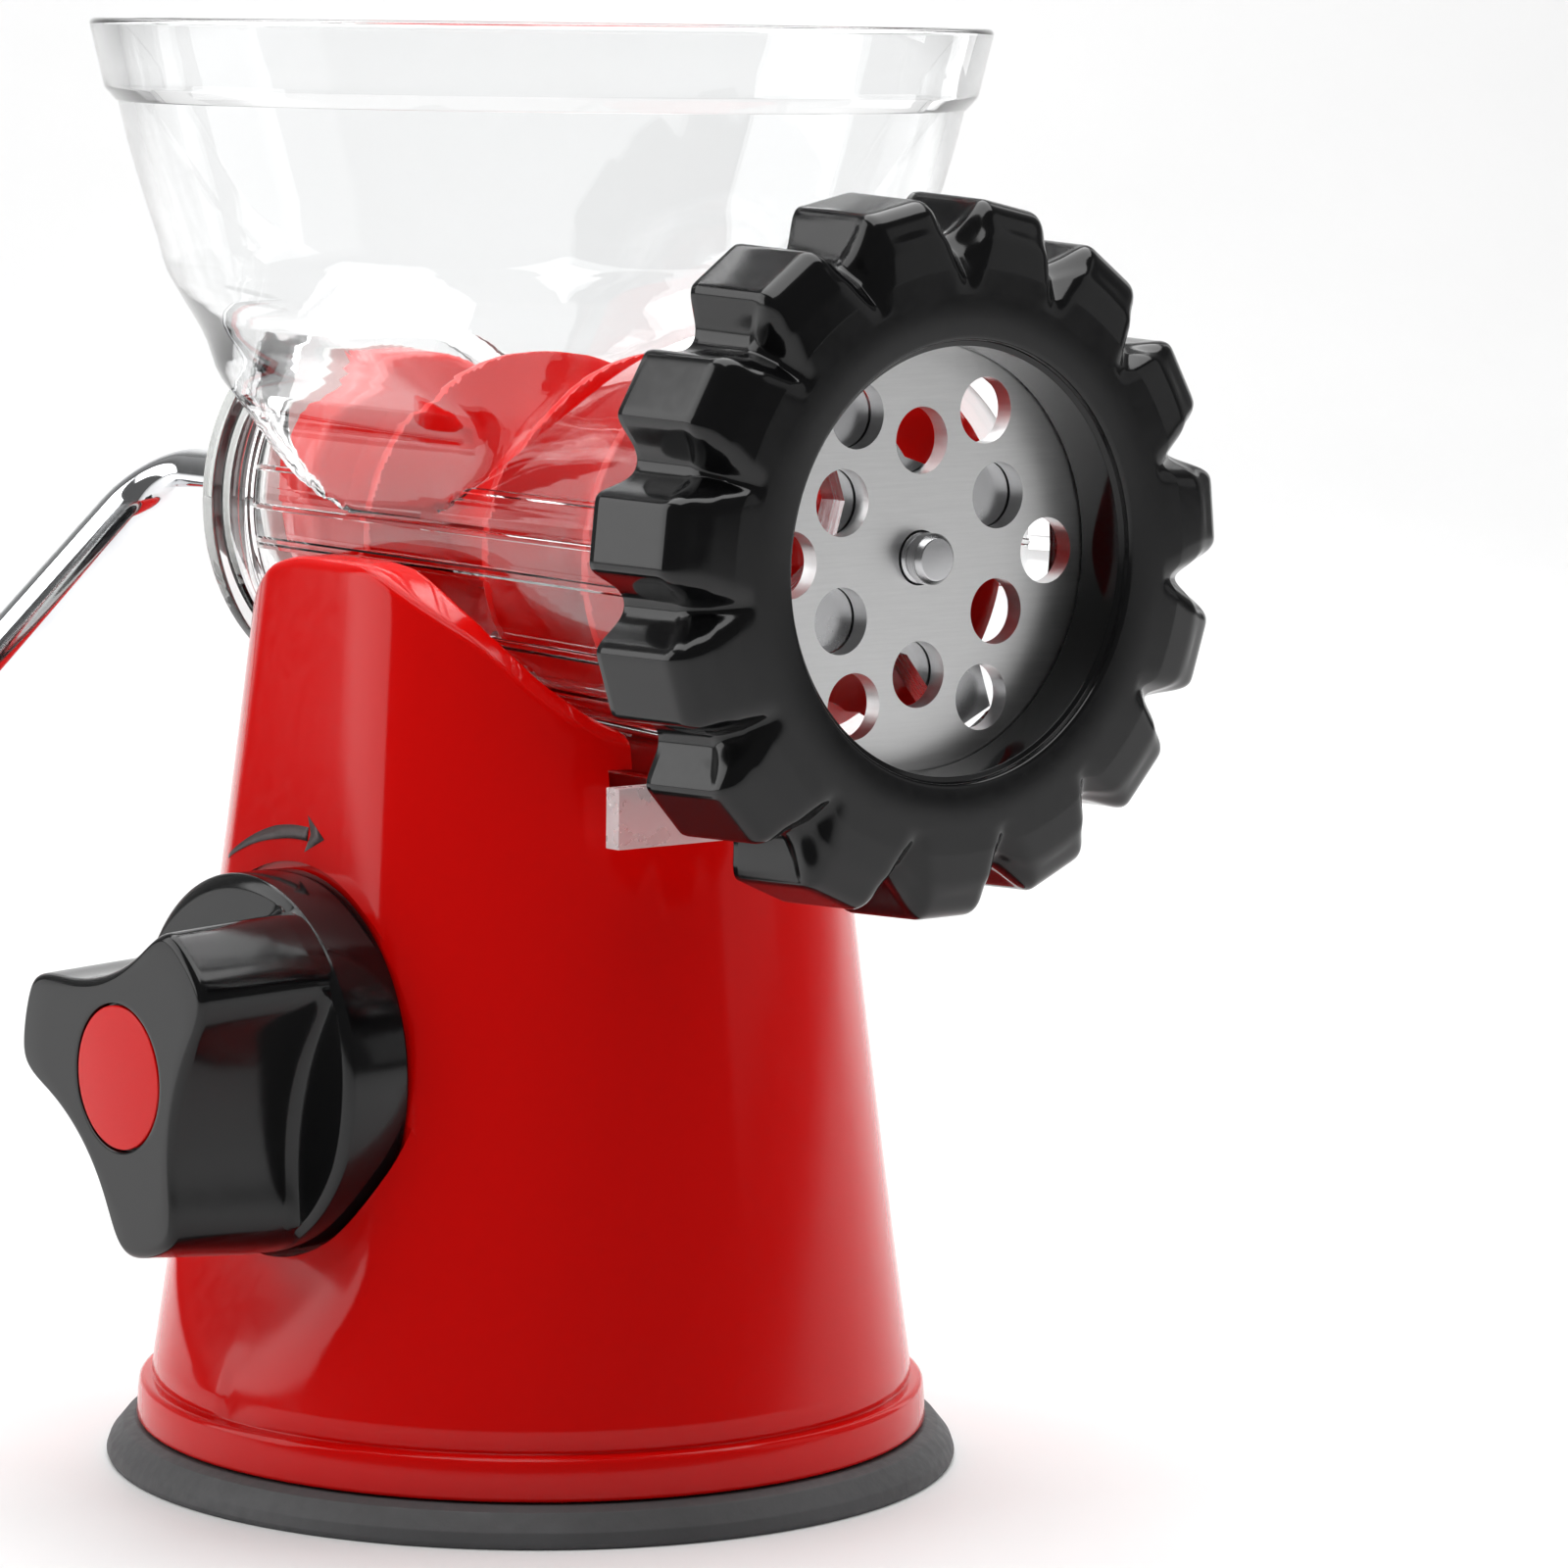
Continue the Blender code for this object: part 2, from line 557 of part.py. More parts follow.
def make_barrel_hopper():
    steps = 44
    outer = [
        (0, BARREL_FRONT), (THREAD_R, BARREL_FRONT), (THREAD_R, THREAD_REAR), (OUTER_FRONT_R, 82.5),
        (OUTER_REAR_R, -36.0), (FLANGE_R - 0.8, -36.0), (FLANGE_R - 0.8, -38.5), (FLANGE_GROOVE_R, -38.5),
        (FLANGE_GROOVE_R, -44.5), (FLANGE_R, -44.5), (FLANGE_R, BARREL_REAR), (0, BARREL_REAR),
    ]
    body = turned("barrel_hopper", outer, along_barrel(), CLEAR, steps)
    bowl = loft("add_bowl", hopper_rings(0.0, steps, RIM_TOP - 1), upright(), None)
    boolean(body, bowl, "UNION")
    band = [
        (RIM_R - 0.4, RIM_TOP), (RIM_R, RIM_TOP - 0.5), (RIM_R - 2.9, 222.0), (RIM_R - 3.6, 221.2),
        (64.5, 221.2), (67.5, RIM_TOP),
    ]
    boolean(body, turned("add_band", band, upright(), None, steps, ring=True), "UNION")

    webs = []
    for i, side in enumerate((-1, 1)):
        centre = side * WEB_X
        low = (centre - WEB_HALF, -FOOT_FRONT - 0.6, FOOT_LOW + 1)
        high = (centre + WEB_HALF, -FOOT_REAR - 1.2, AXIS_Z - 20)
        webs.append(box(f"add_web_{i}", low, high, upright(), None))
    low, high = (-FOOT_HALF, -FOOT_FRONT - 1, FOOT_LOW), (FOOT_HALF, -FOOT_REAR, FOOT_HIGH)
    foot = box("add_foot", low, high, upright(), None)
    stop_low, stop_high = (-STOP_HALF, -FOOT_FRONT - 3.2, 108.2), (STOP_HALF, -FOOT_FRONT, 117.6)
    stop = box("add_stop", stop_low, stop_high, upright(), None)
    for piece in webs + [foot, stop]:
        boolean(body, piece, "UNION")

    bore = [
        (0, PLATE_SEAT + 6), (BORE_FRONT_R, PLATE_SEAT + 6), (BORE_FRONT_R, PLATE_SEAT),
        (BORE_REAR_R, BORE_END), (0, BORE_END),
    ]
    boolean(body, turned("cut_bore", bore, along_barrel(), None, steps))
    boolean(body, loft("cut_bowl", hopper_rings(HOPPER_WALL, steps, RIM_TOP + 3), upright(), None))
    boolean(body, cylinder("cut_seat", PLATE_R + 0.5, PLATE_SEAT, 110, along_barrel(), None, steps=steps))
    for i in range(EARS):
        angle = i * 2 * math.pi / EARS
        x, y = EAR_PITCH_R * math.cos(angle), EAR_PITCH_R * math.sin(angle)
        boolean(body, cylinder(f"cut_ear_{i}", EAR_R + 0.4, PLATE_SEAT, 110, along_barrel(), None, x, y, 10))
    boolean(body, cylinder("cut_rear", 14.3, -60, -40, along_barrel(), None, steps=24))


def make_rear_bush():
    bore, sleeve, flange = 11.7, 14.0, 24.0
    front, rear = -42.8, BARREL_REAR - 0.6
    profile = [
        (bore, front), (flange, front), (flange, front - 2.0),
        (sleeve, front - 2.0), (sleeve, rear), (bore, rear),
    ]
    turned("rear_bush", profile, along_barrel(), WHITE, 24, ring=True)


# ---------------------------------------------------------------- screw and cutting set


def flight_turns(back):
    """Turns of the flight's crest at a distance behind the screw's front: the pitch grows."""
    start, first, growth = 6.5, 13.0, 3.6
    under = first * first + 4 * growth * (back - start)
    return (math.sqrt(max(under, 1.0)) - first) / (2 * growth)


def auger_radius(height):
    """A function of the angle for one section of the left-handed screw."""
    back = AUGER_FRONT - height
    share = back / (AUGER_FRONT - COLLAR_FRONT)
    crest = blend(AUGER_FRONT_R, AUGER_REAR_R, share)
    core = blend(CORE_FRONT_R, CORE_REAR_R, share)
    pitch = math.sqrt(169.0 + 14.4 * max(back - 6.5, 0.0))
    fade = min(1.0, max(0.0, (back - 1.5) / 7.0)) * min(1.0, max(0.0, (115.0 - back) / 14.0))

    def radius(angle):
        turn = angle / (2 * math.pi) - flight_turns(back)
        away = abs((turn + 0.5) % 1.0 - 0.5) * pitch
        rise = max(0.0, 1.0 - away / 7.0) ** 1.6
        top = min(1.0, rise * 1.35)
        return core + (crest - core) * top * fade

    return radius


def make_auger():
    steps, slices = 24, 44
    hole = PIN_R + GAP
    sections = [(AUGER_FRONT - 16.2, hole), (AUGER_FRONT, hole), (AUGER_FRONT, CORE_FRONT_R - 0.5)]
    for i in range(slices + 1):
        height = blend(AUGER_FRONT - 0.8, COLLAR_FRONT + 1.0, i / slices)
        sections.append((height, auger_radius(height)))
    sections += [
        (COLLAR_FRONT, AUGER_COLLAR_R - 1.0),
        (COLLAR_FRONT - 1.0, AUGER_COLLAR_R),
        (AUGER_REAR + 0.6, AUGER_COLLAR_R),
        (AUGER_REAR, AUGER_COLLAR_R - 0.6),
        (AUGER_REAR, 8.3),
        (AUGER_REAR + 20.3, 8.3),
    ]
    rings = [circle_ring(radius, height, steps) for height, radius in sections]
    screw = loft("auger", rings, along_barrel(), RED)
    for i, (x, y) in enumerate(drive_pin_places()):
        hole = cylinder(f"cut_drive_{i}", DRIVE_PIN_R + GAP, 80.0, 95.0, along_barrel(), None, x, y, 12)
        boolean(screw, hole)


def drive_pin_places():
    places = []
    for side in (0, math.pi):
        angle = DRIVE_PIN_ANGLE + side
        places.append((DRIVE_PIN_PITCH_R * math.cos(angle), DRIVE_PIN_PITCH_R * math.sin(angle)))
    return places


def make_auger_fittings():
    tip = 99.6
    pin = [(0, tip), (PIN_R - 1.0, tip), (PIN_R, tip - 1.0), (PIN_R, AUGER_FRONT - 16), (0, AUGER_FRONT - 16)]
    turned("auger_pin", pin, along_barrel(), STEEL, 16)
    for i, (x, y) in enumerate(drive_pin_places()):
        profile = [(0, 90.8), (1.9, 90.8), (DRIVE_PIN_R, 90.3), (DRIVE_PIN_R, 80.3), (0, 80.3)]
        frame = along_barrel() @ Matrix.Translation(Vector((x, y, 0.0)) * MM)
        turned(f"drive_pin_{i + 1}", profile, frame, STEEL, 10)
    washer = [(8.3, AUGER_REAR - GAP), (20.5, AUGER_REAR - GAP), (20.5, -42.5), (8.3, -42.5)]
    turned("hub_washer", washer, along_barrel(), WHITE, 24, ring=True)
    shaft = [
        (0, -20.0), (8.0, -20.0), (8.0, -42.8), (11.35, -42.8), (11.35, -64.0), (9.4, -64.0),
        (10.3, -65.4), (9.4, -66.8), (10.3, -68.2), (9.4, -69.6), (10.3, -71.0), (9.4, -72.4), (0, -72.4),
    ]
    turned("auger_shaft", shaft, along_barrel(), WHITE, 24)


def make_cross_blade():
    outline = []
    for arm in range(4):
        turn = DRIVE_PIN_ANGLE + arm * math.pi / 2
        for along, across in ((13.5, -6.6), (BLADE_R - 0.8, -3.6), (BLADE_R - 0.4, 4.2), (13.5, 6.6)):
            x = along * math.cos(turn) - across * math.sin(turn)
            y = along * math.sin(turn) + across * math.cos(turn)
            outline.append((x, y))
    holes = [circle_points(0, 0, PIN_R + GAP, 16)]
    holes += [circle_points(x, y, DRIVE_PIN_R + GAP, 12) for x, y in drive_pin_places()]
    middle = (BLADE_FRONT + BLADE_REAR) / 2
    flat_outline("cross_blade", [outline] + holes, BLADE_FRONT - BLADE_REAR, middle, along_barrel(), STEEL)


def plate_radius(angle):
    """The plate's edge: a circle with a round ear at each quarter."""
    nearest = math.remainder(angle, 2 * math.pi / EARS)
    offset = EAR_PITCH_R * math.sin(nearest)
    if abs(offset) < EAR_R:
        reach = EAR_PITCH_R * math.cos(nearest) + math.sqrt(EAR_R**2 - offset**2)
        return max(PLATE_R, reach)
    return PLATE_R


def make_coarse_plate():
    steps = 72
    turns = [2 * math.pi * i / steps for i in range(steps)]
    outline = [(plate_radius(a) * math.cos(a), plate_radius(a) * math.sin(a)) for a in turns]
    holes = [circle_points(0, 0, PIN_R + GAP, 16)]
    for i in range(6):
        for share, shift in ((0.53, math.radians(30)), (0.755, 0.0)):
            angle = shift + i * math.pi / 3
            x, y = share * PLATE_R * math.cos(angle), share * PLATE_R * math.sin(angle)
            holes.append(circle_points(x, y, 0.152 * PLATE_R, 14))
    middle = (PLATE_FRONT + PLATE_REAR) / 2
    flat_outline("coarse_plate", [outline] + holes, PLATE_FRONT - PLATE_REAR, middle, along_barrel(), STEEL)


# ---------------------------------------------------------------- ring nut


def nut_radius(top, groove):
    """The radius of the lobed rim: flat lobes with round grooves between them."""

    def radius(angle):
        pitch = 2 * math.pi / NUT_LOBES
        away = abs(math.remainder(angle - NUT_PHASE, pitch)) / (pitch / 2)
        into = max(0.0, (away - 0.46) / 0.54)
        return top - groove * math.sin(into * math.pi / 2) ** 1.3

    return radius


def make_ring_nut():
    sections = [
        (NUT_REAR, nut_radius(NUT_R, NUT_GROOVE)),
        (101.0, nut_radius(NUT_R - 0.8, NUT_GROOVE + 0.2)),
        (104.8, nut_radius(NUT_R - 3.8, NUT_GROOVE)),
        (NUT_FRONT, nut_radius(NUT_R - 9.5, 3.0)),
        (NUT_FRONT, NUT_HOLE_R + 0.8),
        (NUT_FRONT - 0.8, NUT_HOLE_R),
        (NUT_LIP, NUT_HOLE_R),
        (NUT_LIP, NUT_BORE_R),
        (NUT_REAR, NUT_BORE_R),
    ]
    rings = [circle_ring(radius, height, NUT_LOBES * 6) for height, radius in sections]
    loft("ring_nut", rings, along_barrel(), BLACK, wrap=True)


# ---------------------------------------------------------------- crank


def arm_direction():
    return Vector((-math.cos(ARM_DROP), 0.0, -math.sin(ARM_DROP)))


def bend(corner, arriving, leaving, steps=6):
    """A quarter turn of radius BEND_R between two directions that meet at a corner."""
    centre = corner - arriving * BEND_R + leaving * BEND_R
    points = []
    for i in range(steps + 1):
        angle = math.pi / 2 * i / steps
        points.append(centre - leaving * BEND_R * math.cos(angle) + arriving * BEND_R * math.sin(angle))
    return points


def make_crank():
    back, arm = Vector((0.0, 1.0, 0.0)), arm_direction()
    first = Vector((0.0, ARM_Y, AXIS_Z))
    second = first + arm * ARM_LENGTH
    points = [Vector((0.0, HUB_REAR - 4.4, AXIS_Z))]
    points += bend(first, back, arm) + bend(second, arm, back)
    points.append(Vector((second.x, ROD_END, second.z)))
    tube("crank_rod", points, ROD_R, CHROME, 2)
    hub = [
        (ROD_R + GAP, -HUB_FRONT), (15.0, -HUB_FRONT), (15.0, -70.0),
        (9.0, -HUB_REAR), (ROD_R + GAP, -HUB_REAR),
    ]
    bore = [
        (0, -HUB_FRONT + 2), (11.7, -HUB_FRONT + 2), (11.7, -64.3),
        (10.7, -64.3), (10.7, -73.3), (0, -73.3),
    ]
    piece = turned("crank_hub", hub, along_barrel(), BLACK, 24, ring=True)
    boolean(piece, turned("cut_hub", bore, along_barrel(), None, 24))


def grip_frame():
    centre = arm_direction() * ARM_LENGTH
    return along_barrel(centre.x, AXIS_Z + centre.z)


def make_grip():
    frame = grip_frame()
    bore, pocket, pocket_from = ROD_R + 0.45, 8.2, 195.0
    washer = [(ROD_R + GAP, -124.4), (8.0, -124.4), (8.0, -126.0), (ROD_R + GAP, -126.0)]
    turned("grip_washer", washer, frame, STEEL, 16, ring=True)
    profile = [
        (bore, -GRIP_START), (9.0, -GRIP_START), (10.2, -GRIP_START - 1.2),
        (11.2, -136.0), (GRIP_R - 0.6, -150.0),
        (GRIP_R, -168.0), (GRIP_R - 0.8, -186.0), (11.6, -200.0), (10.4, -GRIP_END + 1.0), (9.4, -GRIP_END),
        (pocket, -GRIP_END), (pocket, -pocket_from), (bore, -pocket_from),
    ]
    turned("grip", profile, frame, BLACK, 24, ring=True)
    clip = [(ROD_R + GAP, -195.3), (7.0, -195.3), (7.0, -197.3), (ROD_R + GAP, -197.3)]
    turned("grip_clip", clip, frame, STEEL, 16, ring=True)
    cap = [(0, -200.2), (7.8, -200.2), (7.8, -203.8), (6.8, -204.6), (0, -GRIP_END)]
    turned("grip_cap", cap, frame, BLACK, 24)


make_base_shell()
make_suction_cup()
make_cup_stud()
make_spring_stack()
make_lift_guide()
make_guide_screws()
make_knob()
make_knob_fittings()
make_cam_shaft()
make_knob_bush()
make_barrel_hopper()
make_rear_bush()
make_auger()
make_auger_fittings()
make_cross_blade()
make_coarse_plate()
make_ring_nut()
make_crank()
make_grip()
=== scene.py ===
"""Looks for the hand crank meat grinder: detailed pieces, materials, light and camera.

Row frame: metres, +Z up, outlet towards -Y, locking knob at -X, crank at +Y. Sizes below are in
millimetres, and MM turns them into metres.
"""

import math

import bmesh
import bpy
import numpy as np
from mathutils import Matrix, Vector


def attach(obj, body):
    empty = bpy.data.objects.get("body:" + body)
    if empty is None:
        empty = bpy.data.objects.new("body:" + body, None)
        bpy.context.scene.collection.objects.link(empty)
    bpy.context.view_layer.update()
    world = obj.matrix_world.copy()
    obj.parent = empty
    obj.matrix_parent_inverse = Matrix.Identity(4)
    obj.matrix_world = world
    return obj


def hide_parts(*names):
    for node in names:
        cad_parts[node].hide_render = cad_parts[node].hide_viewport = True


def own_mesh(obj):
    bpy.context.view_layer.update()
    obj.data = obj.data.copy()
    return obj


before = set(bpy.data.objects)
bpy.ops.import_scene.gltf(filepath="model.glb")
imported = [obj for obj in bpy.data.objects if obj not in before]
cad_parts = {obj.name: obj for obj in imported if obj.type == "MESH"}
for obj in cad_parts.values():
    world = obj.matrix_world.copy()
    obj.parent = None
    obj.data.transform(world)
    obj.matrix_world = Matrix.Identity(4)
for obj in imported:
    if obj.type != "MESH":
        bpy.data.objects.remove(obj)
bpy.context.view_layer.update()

MM = 0.001
GAP = 0.3
AXIS_Z = 155.0
KNOB_Z = 70.0
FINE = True

# Base shell
BAND_LOW, BAND_HIGH, BAND_R = 6.3, 13.2, 65.1
CONE_LOW, CONE_R = 14.4, 62.6
EAR_TOP = 149.3
SIDE_X, SIDE_SLOPE, SIDE_TOP = 56.8, 0.096, 100.0
WALL = 2.8
DECK_LOW = 111.0
SADDLE_R = 34.4
TRACK_LOW, TRACK_HIGH, TRACK_HALF, TRACK_MOUTH_HALF, TRACK_END = 114.4, 118.8, 19.6, 16.0, 36.5
RECESS_R, RECESS_X = 31.3, -46.7
POSTS = [(sx * 27.0, sy * 19.0) for sx in (-1, 1) for sy in (-1, 1)]
POST_R, POST_LOW = 4.4, 50.0

# Knob, as distances from the base axis towards -X
KNOB_REAR, KNOB_STEP, KNOB_FACE = 47.0, 58.4, 81.3
KNOB_SKIRT_R, KNOB_TIP_R, KNOB_VALLEY_R = 30.2, 28.6, 16.6
KNOB_HOLLOW_R = 46.0
KNOB_PHASE = math.radians(47.0)
KNOB_FOOT_R = 30.1
CAP_R = 11.4
SHAFT_R = 4.0

# Barrel and hopper, as distances forward (towards -Y) from the base axis
BARREL_FRONT, PLATE_SEAT, BARREL_REAR = 94.9, 92.2, -48.0
THREAD_R, THREAD_REAR = 39.4, 86.0
BORE_FRONT_R, BORE_REAR_R, BORE_END = 31.0, 27.9, -45.1
OUTER_FRONT_R, OUTER_REAR_R = 33.8, 31.5
FLANGE_R, FLANGE_GROOVE_R = 33.8, 31.8
HOPPER_WALL = 2.6
RIM_TOP, RIM_R = 234.0, 72.8
FOOT_LOW, FOOT_HIGH, FOOT_HALF, STOP_HALF, STOP_HIGH = 114.9, 118.3, 19.0, 27.2, 117.6
WEB_X, WEB_HALF = 14.0, 1.3
FOOT_FRONT, FOOT_REAR = 54.0, -36.2

# Cutting set and screw
PLATE_R, PLATE_FRONT, PLATE_REAR = 33.4, 95.5, 92.5
EARS, EAR_R, EAR_PITCH_R = 4, 2.7, 34.6
BLADE_R, BLADE_FRONT, BLADE_REAR = 29.6, 92.2, 86.8
AUGER_FRONT, AUGER_REAR, COLLAR_FRONT = 86.5, -40.0, -28.5
AUGER_FRONT_R, AUGER_REAR_R, AUGER_COLLAR_R = 30.2, 25.2, 23.6
CORE_FRONT_R, CORE_REAR_R, SOCKET_R = 15.2, 13.4, 8.3
PIN_R, DRIVE_PIN_R, DRIVE_PIN_PITCH_R = 3.9, 2.3, 8.0
DRIVE_PIN_ANGLE = math.radians(28.0)

# Ring nut
NUT_REAR, NUT_FRONT, NUT_R = 85.0, 106.0, 55.1
NUT_LOBES, NUT_PHASE = 15, math.radians(6.2)
NUT_HOLE_R, NUT_BORE_R, NUT_LIP = 32.3, 39.9, 95.8

# Crank
ROD_R, BEND_R = 4.15, 12.0
ARM_Y, ARM_LENGTH, ARM_DROP = 111.0, 130.0, math.radians(42.3)
HUB_FRONT, HUB_REAR = 50.0, 78.0
GRIP_START, GRIP_END, GRIP_R = 126.3, 205.0, 13.5
ROD_END = 199.0


# ---------------------------------------------------------------- materials


def node_material(name):
    """A material with its Principled shader, ready for more nodes."""
    material = bpy.data.materials.new(name)
    material.use_nodes = True
    return material, material.node_tree, material.node_tree.nodes["Principled BSDF"]


def noise(tree, scale, detail=4.0, rough=0.5, stretch=(1, 1, 1)):
    """Object-space noise, stretched along any axis, as a value from 0 to 1."""
    place = tree.nodes.new("ShaderNodeTexCoord")
    mapping = tree.nodes.new("ShaderNodeMapping")
    mapping.inputs["Scale"].default_value = stretch
    texture = tree.nodes.new("ShaderNodeTexNoise")
    texture.inputs["Scale"].default_value = scale
    texture.inputs["Detail"].default_value = detail
    texture.inputs["Roughness"].default_value = rough
    tree.links.new(place.outputs["Object"], mapping.inputs["Vector"])
    tree.links.new(mapping.outputs["Vector"], texture.inputs["Vector"])
    return texture.outputs["Fac"]


def spread(tree, value, low, high, start=0.3, end=0.7):
    """Maps a value between start and end onto low to high."""
    remap = tree.nodes.new("ShaderNodeMapRange")
    remap.inputs["From Min"].default_value = start
    remap.inputs["From Max"].default_value = end
    remap.inputs["To Min"].default_value = low
    remap.inputs["To Max"].default_value = high
    tree.links.new(value, remap.inputs["Value"])
    return remap.outputs["Result"]


def two_tone(tree, value, dark, light):
    """A colour between two tones. A tone is an (r, g, b), or one level for a grey."""
    dark, light = [tone if isinstance(tone, tuple) else (tone, tone, tone) for tone in (dark, light)]
    ramp = tree.nodes.new("ShaderNodeValToRGB")
    ramp.color_ramp.elements[0].position = 0.3
    ramp.color_ramp.elements[0].color = (*dark, 1)
    ramp.color_ramp.elements[1].position = 0.7
    ramp.color_ramp.elements[1].color = (*light, 1)
    tree.links.new(value, ramp.inputs["Fac"])
    return ramp.outputs["Color"]


def bump(tree, value, distance, strength=1.0):
    """A normal from a value, whose full height is distance in millimetres."""
    node = tree.nodes.new("ShaderNodeBump")
    node.inputs["Strength"].default_value = strength
    node.inputs["Distance"].default_value = distance * MM
    tree.links.new(value, node.inputs["Height"])
    return node.outputs["Normal"]


def dress(tree, shader, colour=None, roughness=None, normal=None):
    """Links what varies over the surface to the shader."""
    for value, socket in ((colour, "Base Color"), (roughness, "Roughness"), (normal, "Normal")):
        if value:
            tree.links.new(value, shader.inputs[socket])


def gloss_plastic(name, dark, light, roughness, coat=0.0, ripple=0.02, specular=0.5):
    """Moulded plastic: faint flow tone, slightly uneven gloss and a very shallow ripple."""
    material, tree, shader = node_material(name)
    flow = noise(tree, 9.0, 3.0, 0.5, (1, 1, 0.35))
    grain = noise(tree, 420.0, 5.0, 0.6)
    normal = bump(tree, noise(tree, 60.0, 2.0), ripple)
    dress(tree, shader, two_tone(tree, flow, dark, light), spread(tree, grain, *roughness), normal)
    shader.inputs["Coat Weight"].default_value = coat
    shader.inputs["Coat Roughness"].default_value = 0.05
    shader.inputs["Specular IOR Level"].default_value = specular
    return material


def clear_plastic(name, tint):
    """Clear moulded plastic that lets light through to what is behind it."""
    material, tree, shader = node_material(name)
    shader.inputs["Base Color"].default_value = (*tint, 1)
    shader.inputs["Transmission Weight"].default_value = 1.0
    shader.inputs["IOR"].default_value = 1.5
    haze = spread(tree, noise(tree, 350.0, 4.0), 0.0, 0.035)
    dress(tree, shader, None, haze, bump(tree, noise(tree, 34.0, 2.0, 0.4), 0.035))
    path = tree.nodes.new("ShaderNodeLightPath")
    through = tree.nodes.new("ShaderNodeBsdfTransparent")
    through.inputs["Color"].default_value = (0.93, 0.94, 0.94, 1)
    mix = tree.nodes.new("ShaderNodeMixShader")
    output = tree.nodes["Material Output"]
    tree.links.new(path.outputs["Is Shadow Ray"], mix.inputs["Fac"])
    tree.links.new(shader.outputs["BSDF"], mix.inputs[1])
    tree.links.new(through.outputs["BSDF"], mix.inputs[2])
    tree.links.new(mix.outputs["Shader"], output.inputs["Surface"])
    return material


def frosted_plastic(name, tint):
    """The clear plastic where a sawn or ground face scatters the light."""
    material, tree, shader = node_material(name)
    shader.inputs["Base Color"].default_value = (*tint, 1)
    shader.inputs["Transmission Weight"].default_value = 0.62
    shader.inputs["IOR"].default_value = 1.42
    haze = spread(tree, noise(tree, 260.0, 5.0), 0.22, 0.4)
    dress(tree, shader, None, haze, bump(tree, noise(tree, 140.0, 3.0), 0.02))
    return material


def brushed_steel(name, dark, light, roughness, stretch, marks):
    """Steel with fine straight brush marks: stretch is large across them."""
    material, tree, shader = node_material(name)
    lines = noise(tree, 60.0, 6.0, 0.7, stretch)
    normal = bump(tree, lines, marks)
    dress(tree, shader, two_tone(tree, lines, dark, light), spread(tree, lines, *roughness), normal)
    shader.inputs["Metallic"].default_value = 1.0
    return material


def chrome_plate(name):
    material, tree, shader = node_material(name)
    haze = two_tone(tree, noise(tree, 90.0, 4.0), (0.72, 0.73, 0.75), (0.82, 0.83, 0.84))
    gloss = spread(tree, noise(tree, 700.0, 5.0), 0.04, 0.1)
    dress(tree, shader, haze, gloss, bump(tree, noise(tree, 120.0, 2.0), 0.01))
    shader.inputs["Metallic"].default_value = 1.0
    return material


def matte_rubber(name):
    material, tree, shader = node_material(name)
    patches = two_tone(tree, noise(tree, 30.0, 5.0), (0.055, 0.055, 0.057), (0.075, 0.075, 0.078))
    gloss = spread(tree, noise(tree, 500.0, 4.0), 0.5, 0.68)
    dress(tree, shader, patches, gloss, bump(tree, noise(tree, 1400.0, 3.0), 0.05, 0.6))
    return material


def printed_ink(name):
    material, tree, shader = node_material(name)
    ink = two_tone(tree, noise(tree, 900.0, 4.0), (0.035, 0.02, 0.02), (0.06, 0.035, 0.035))
    dress(tree, shader, ink, spread(tree, noise(tree, 300.0), 0.3, 0.45))
    return material


RED_DARK, RED_LIGHT = (0.60, 0.0018, 0.0012), (0.66, 0.0028, 0.0018)
RED = gloss_plastic("red_plastic", RED_DARK, RED_LIGHT, (0.09, 0.14), specular=0.22)
AUGER_RED = gloss_plastic("auger_red", (0.66, 0.004, 0.003), (0.72, 0.006, 0.004), (0.10, 0.16))
BLACK_DARK, BLACK_LIGHT = (0.0032, 0.0032, 0.0035), (0.0045, 0.0045, 0.0048)
BLACK = gloss_plastic("black_plastic", BLACK_DARK, BLACK_LIGHT, (0.1, 0.16), specular=0.4)
CLEAR = clear_plastic("clear_plastic", (0.965, 0.97, 0.972))
FROSTED = frosted_plastic("frosted_plastic", (0.95, 0.85, 0.85))
WHITE = gloss_plastic("white_plastic", (0.78, 0.78, 0.76), (0.84, 0.84, 0.82), (0.2, 0.3), coat=0.1)
RUBBER = matte_rubber("dark_rubber")
PLATE_STEEL = brushed_steel("plate_steel", 0.68, 0.74, (0.32, 0.4), (2, 1, 34), 0.002)
STEEL = brushed_steel("brushed_steel", (0.5, 0.5, 0.51), (0.6, 0.6, 0.61), (0.18, 0.3), (1, 30, 1), 0.01)
CHROME = chrome_plate("chrome")
INK = printed_ink("printed_ink")


# ---------------------------------------------------------------- frames and helpers


def upright(x=0.0, y=0.0):
    return Matrix.Translation(Vector((x, y, 0.0)) * MM)


def along_barrel(x=0.0, z=AXIS_Z):
    """Local Z points forward (-Y), local X is row X and local Y is row Z."""
    turn = Matrix(((1, 0, 0, 0), (0, 0, -1, 0), (0, 1, 0, 0), (0, 0, 0, 1)))
    return Matrix.Translation(Vector((x, 0.0, z)) * MM) @ turn


def along_knob():
    """Local Z points out of the knob (-X), local X is row -Y and local Y is row Z."""
    turn = Matrix(((0, 0, -1, 0), (-1, 0, 0, 0), (0, 1, 0, 0), (0, 0, 0, 1)))
    return Matrix.Translation(Vector((0.0, 0.0, KNOB_Z)) * MM) @ turn


def smooth(mesh, angle=38):
    mesh.shade_smooth()
    mesh.set_sharp_from_angle(angle=math.radians(angle))


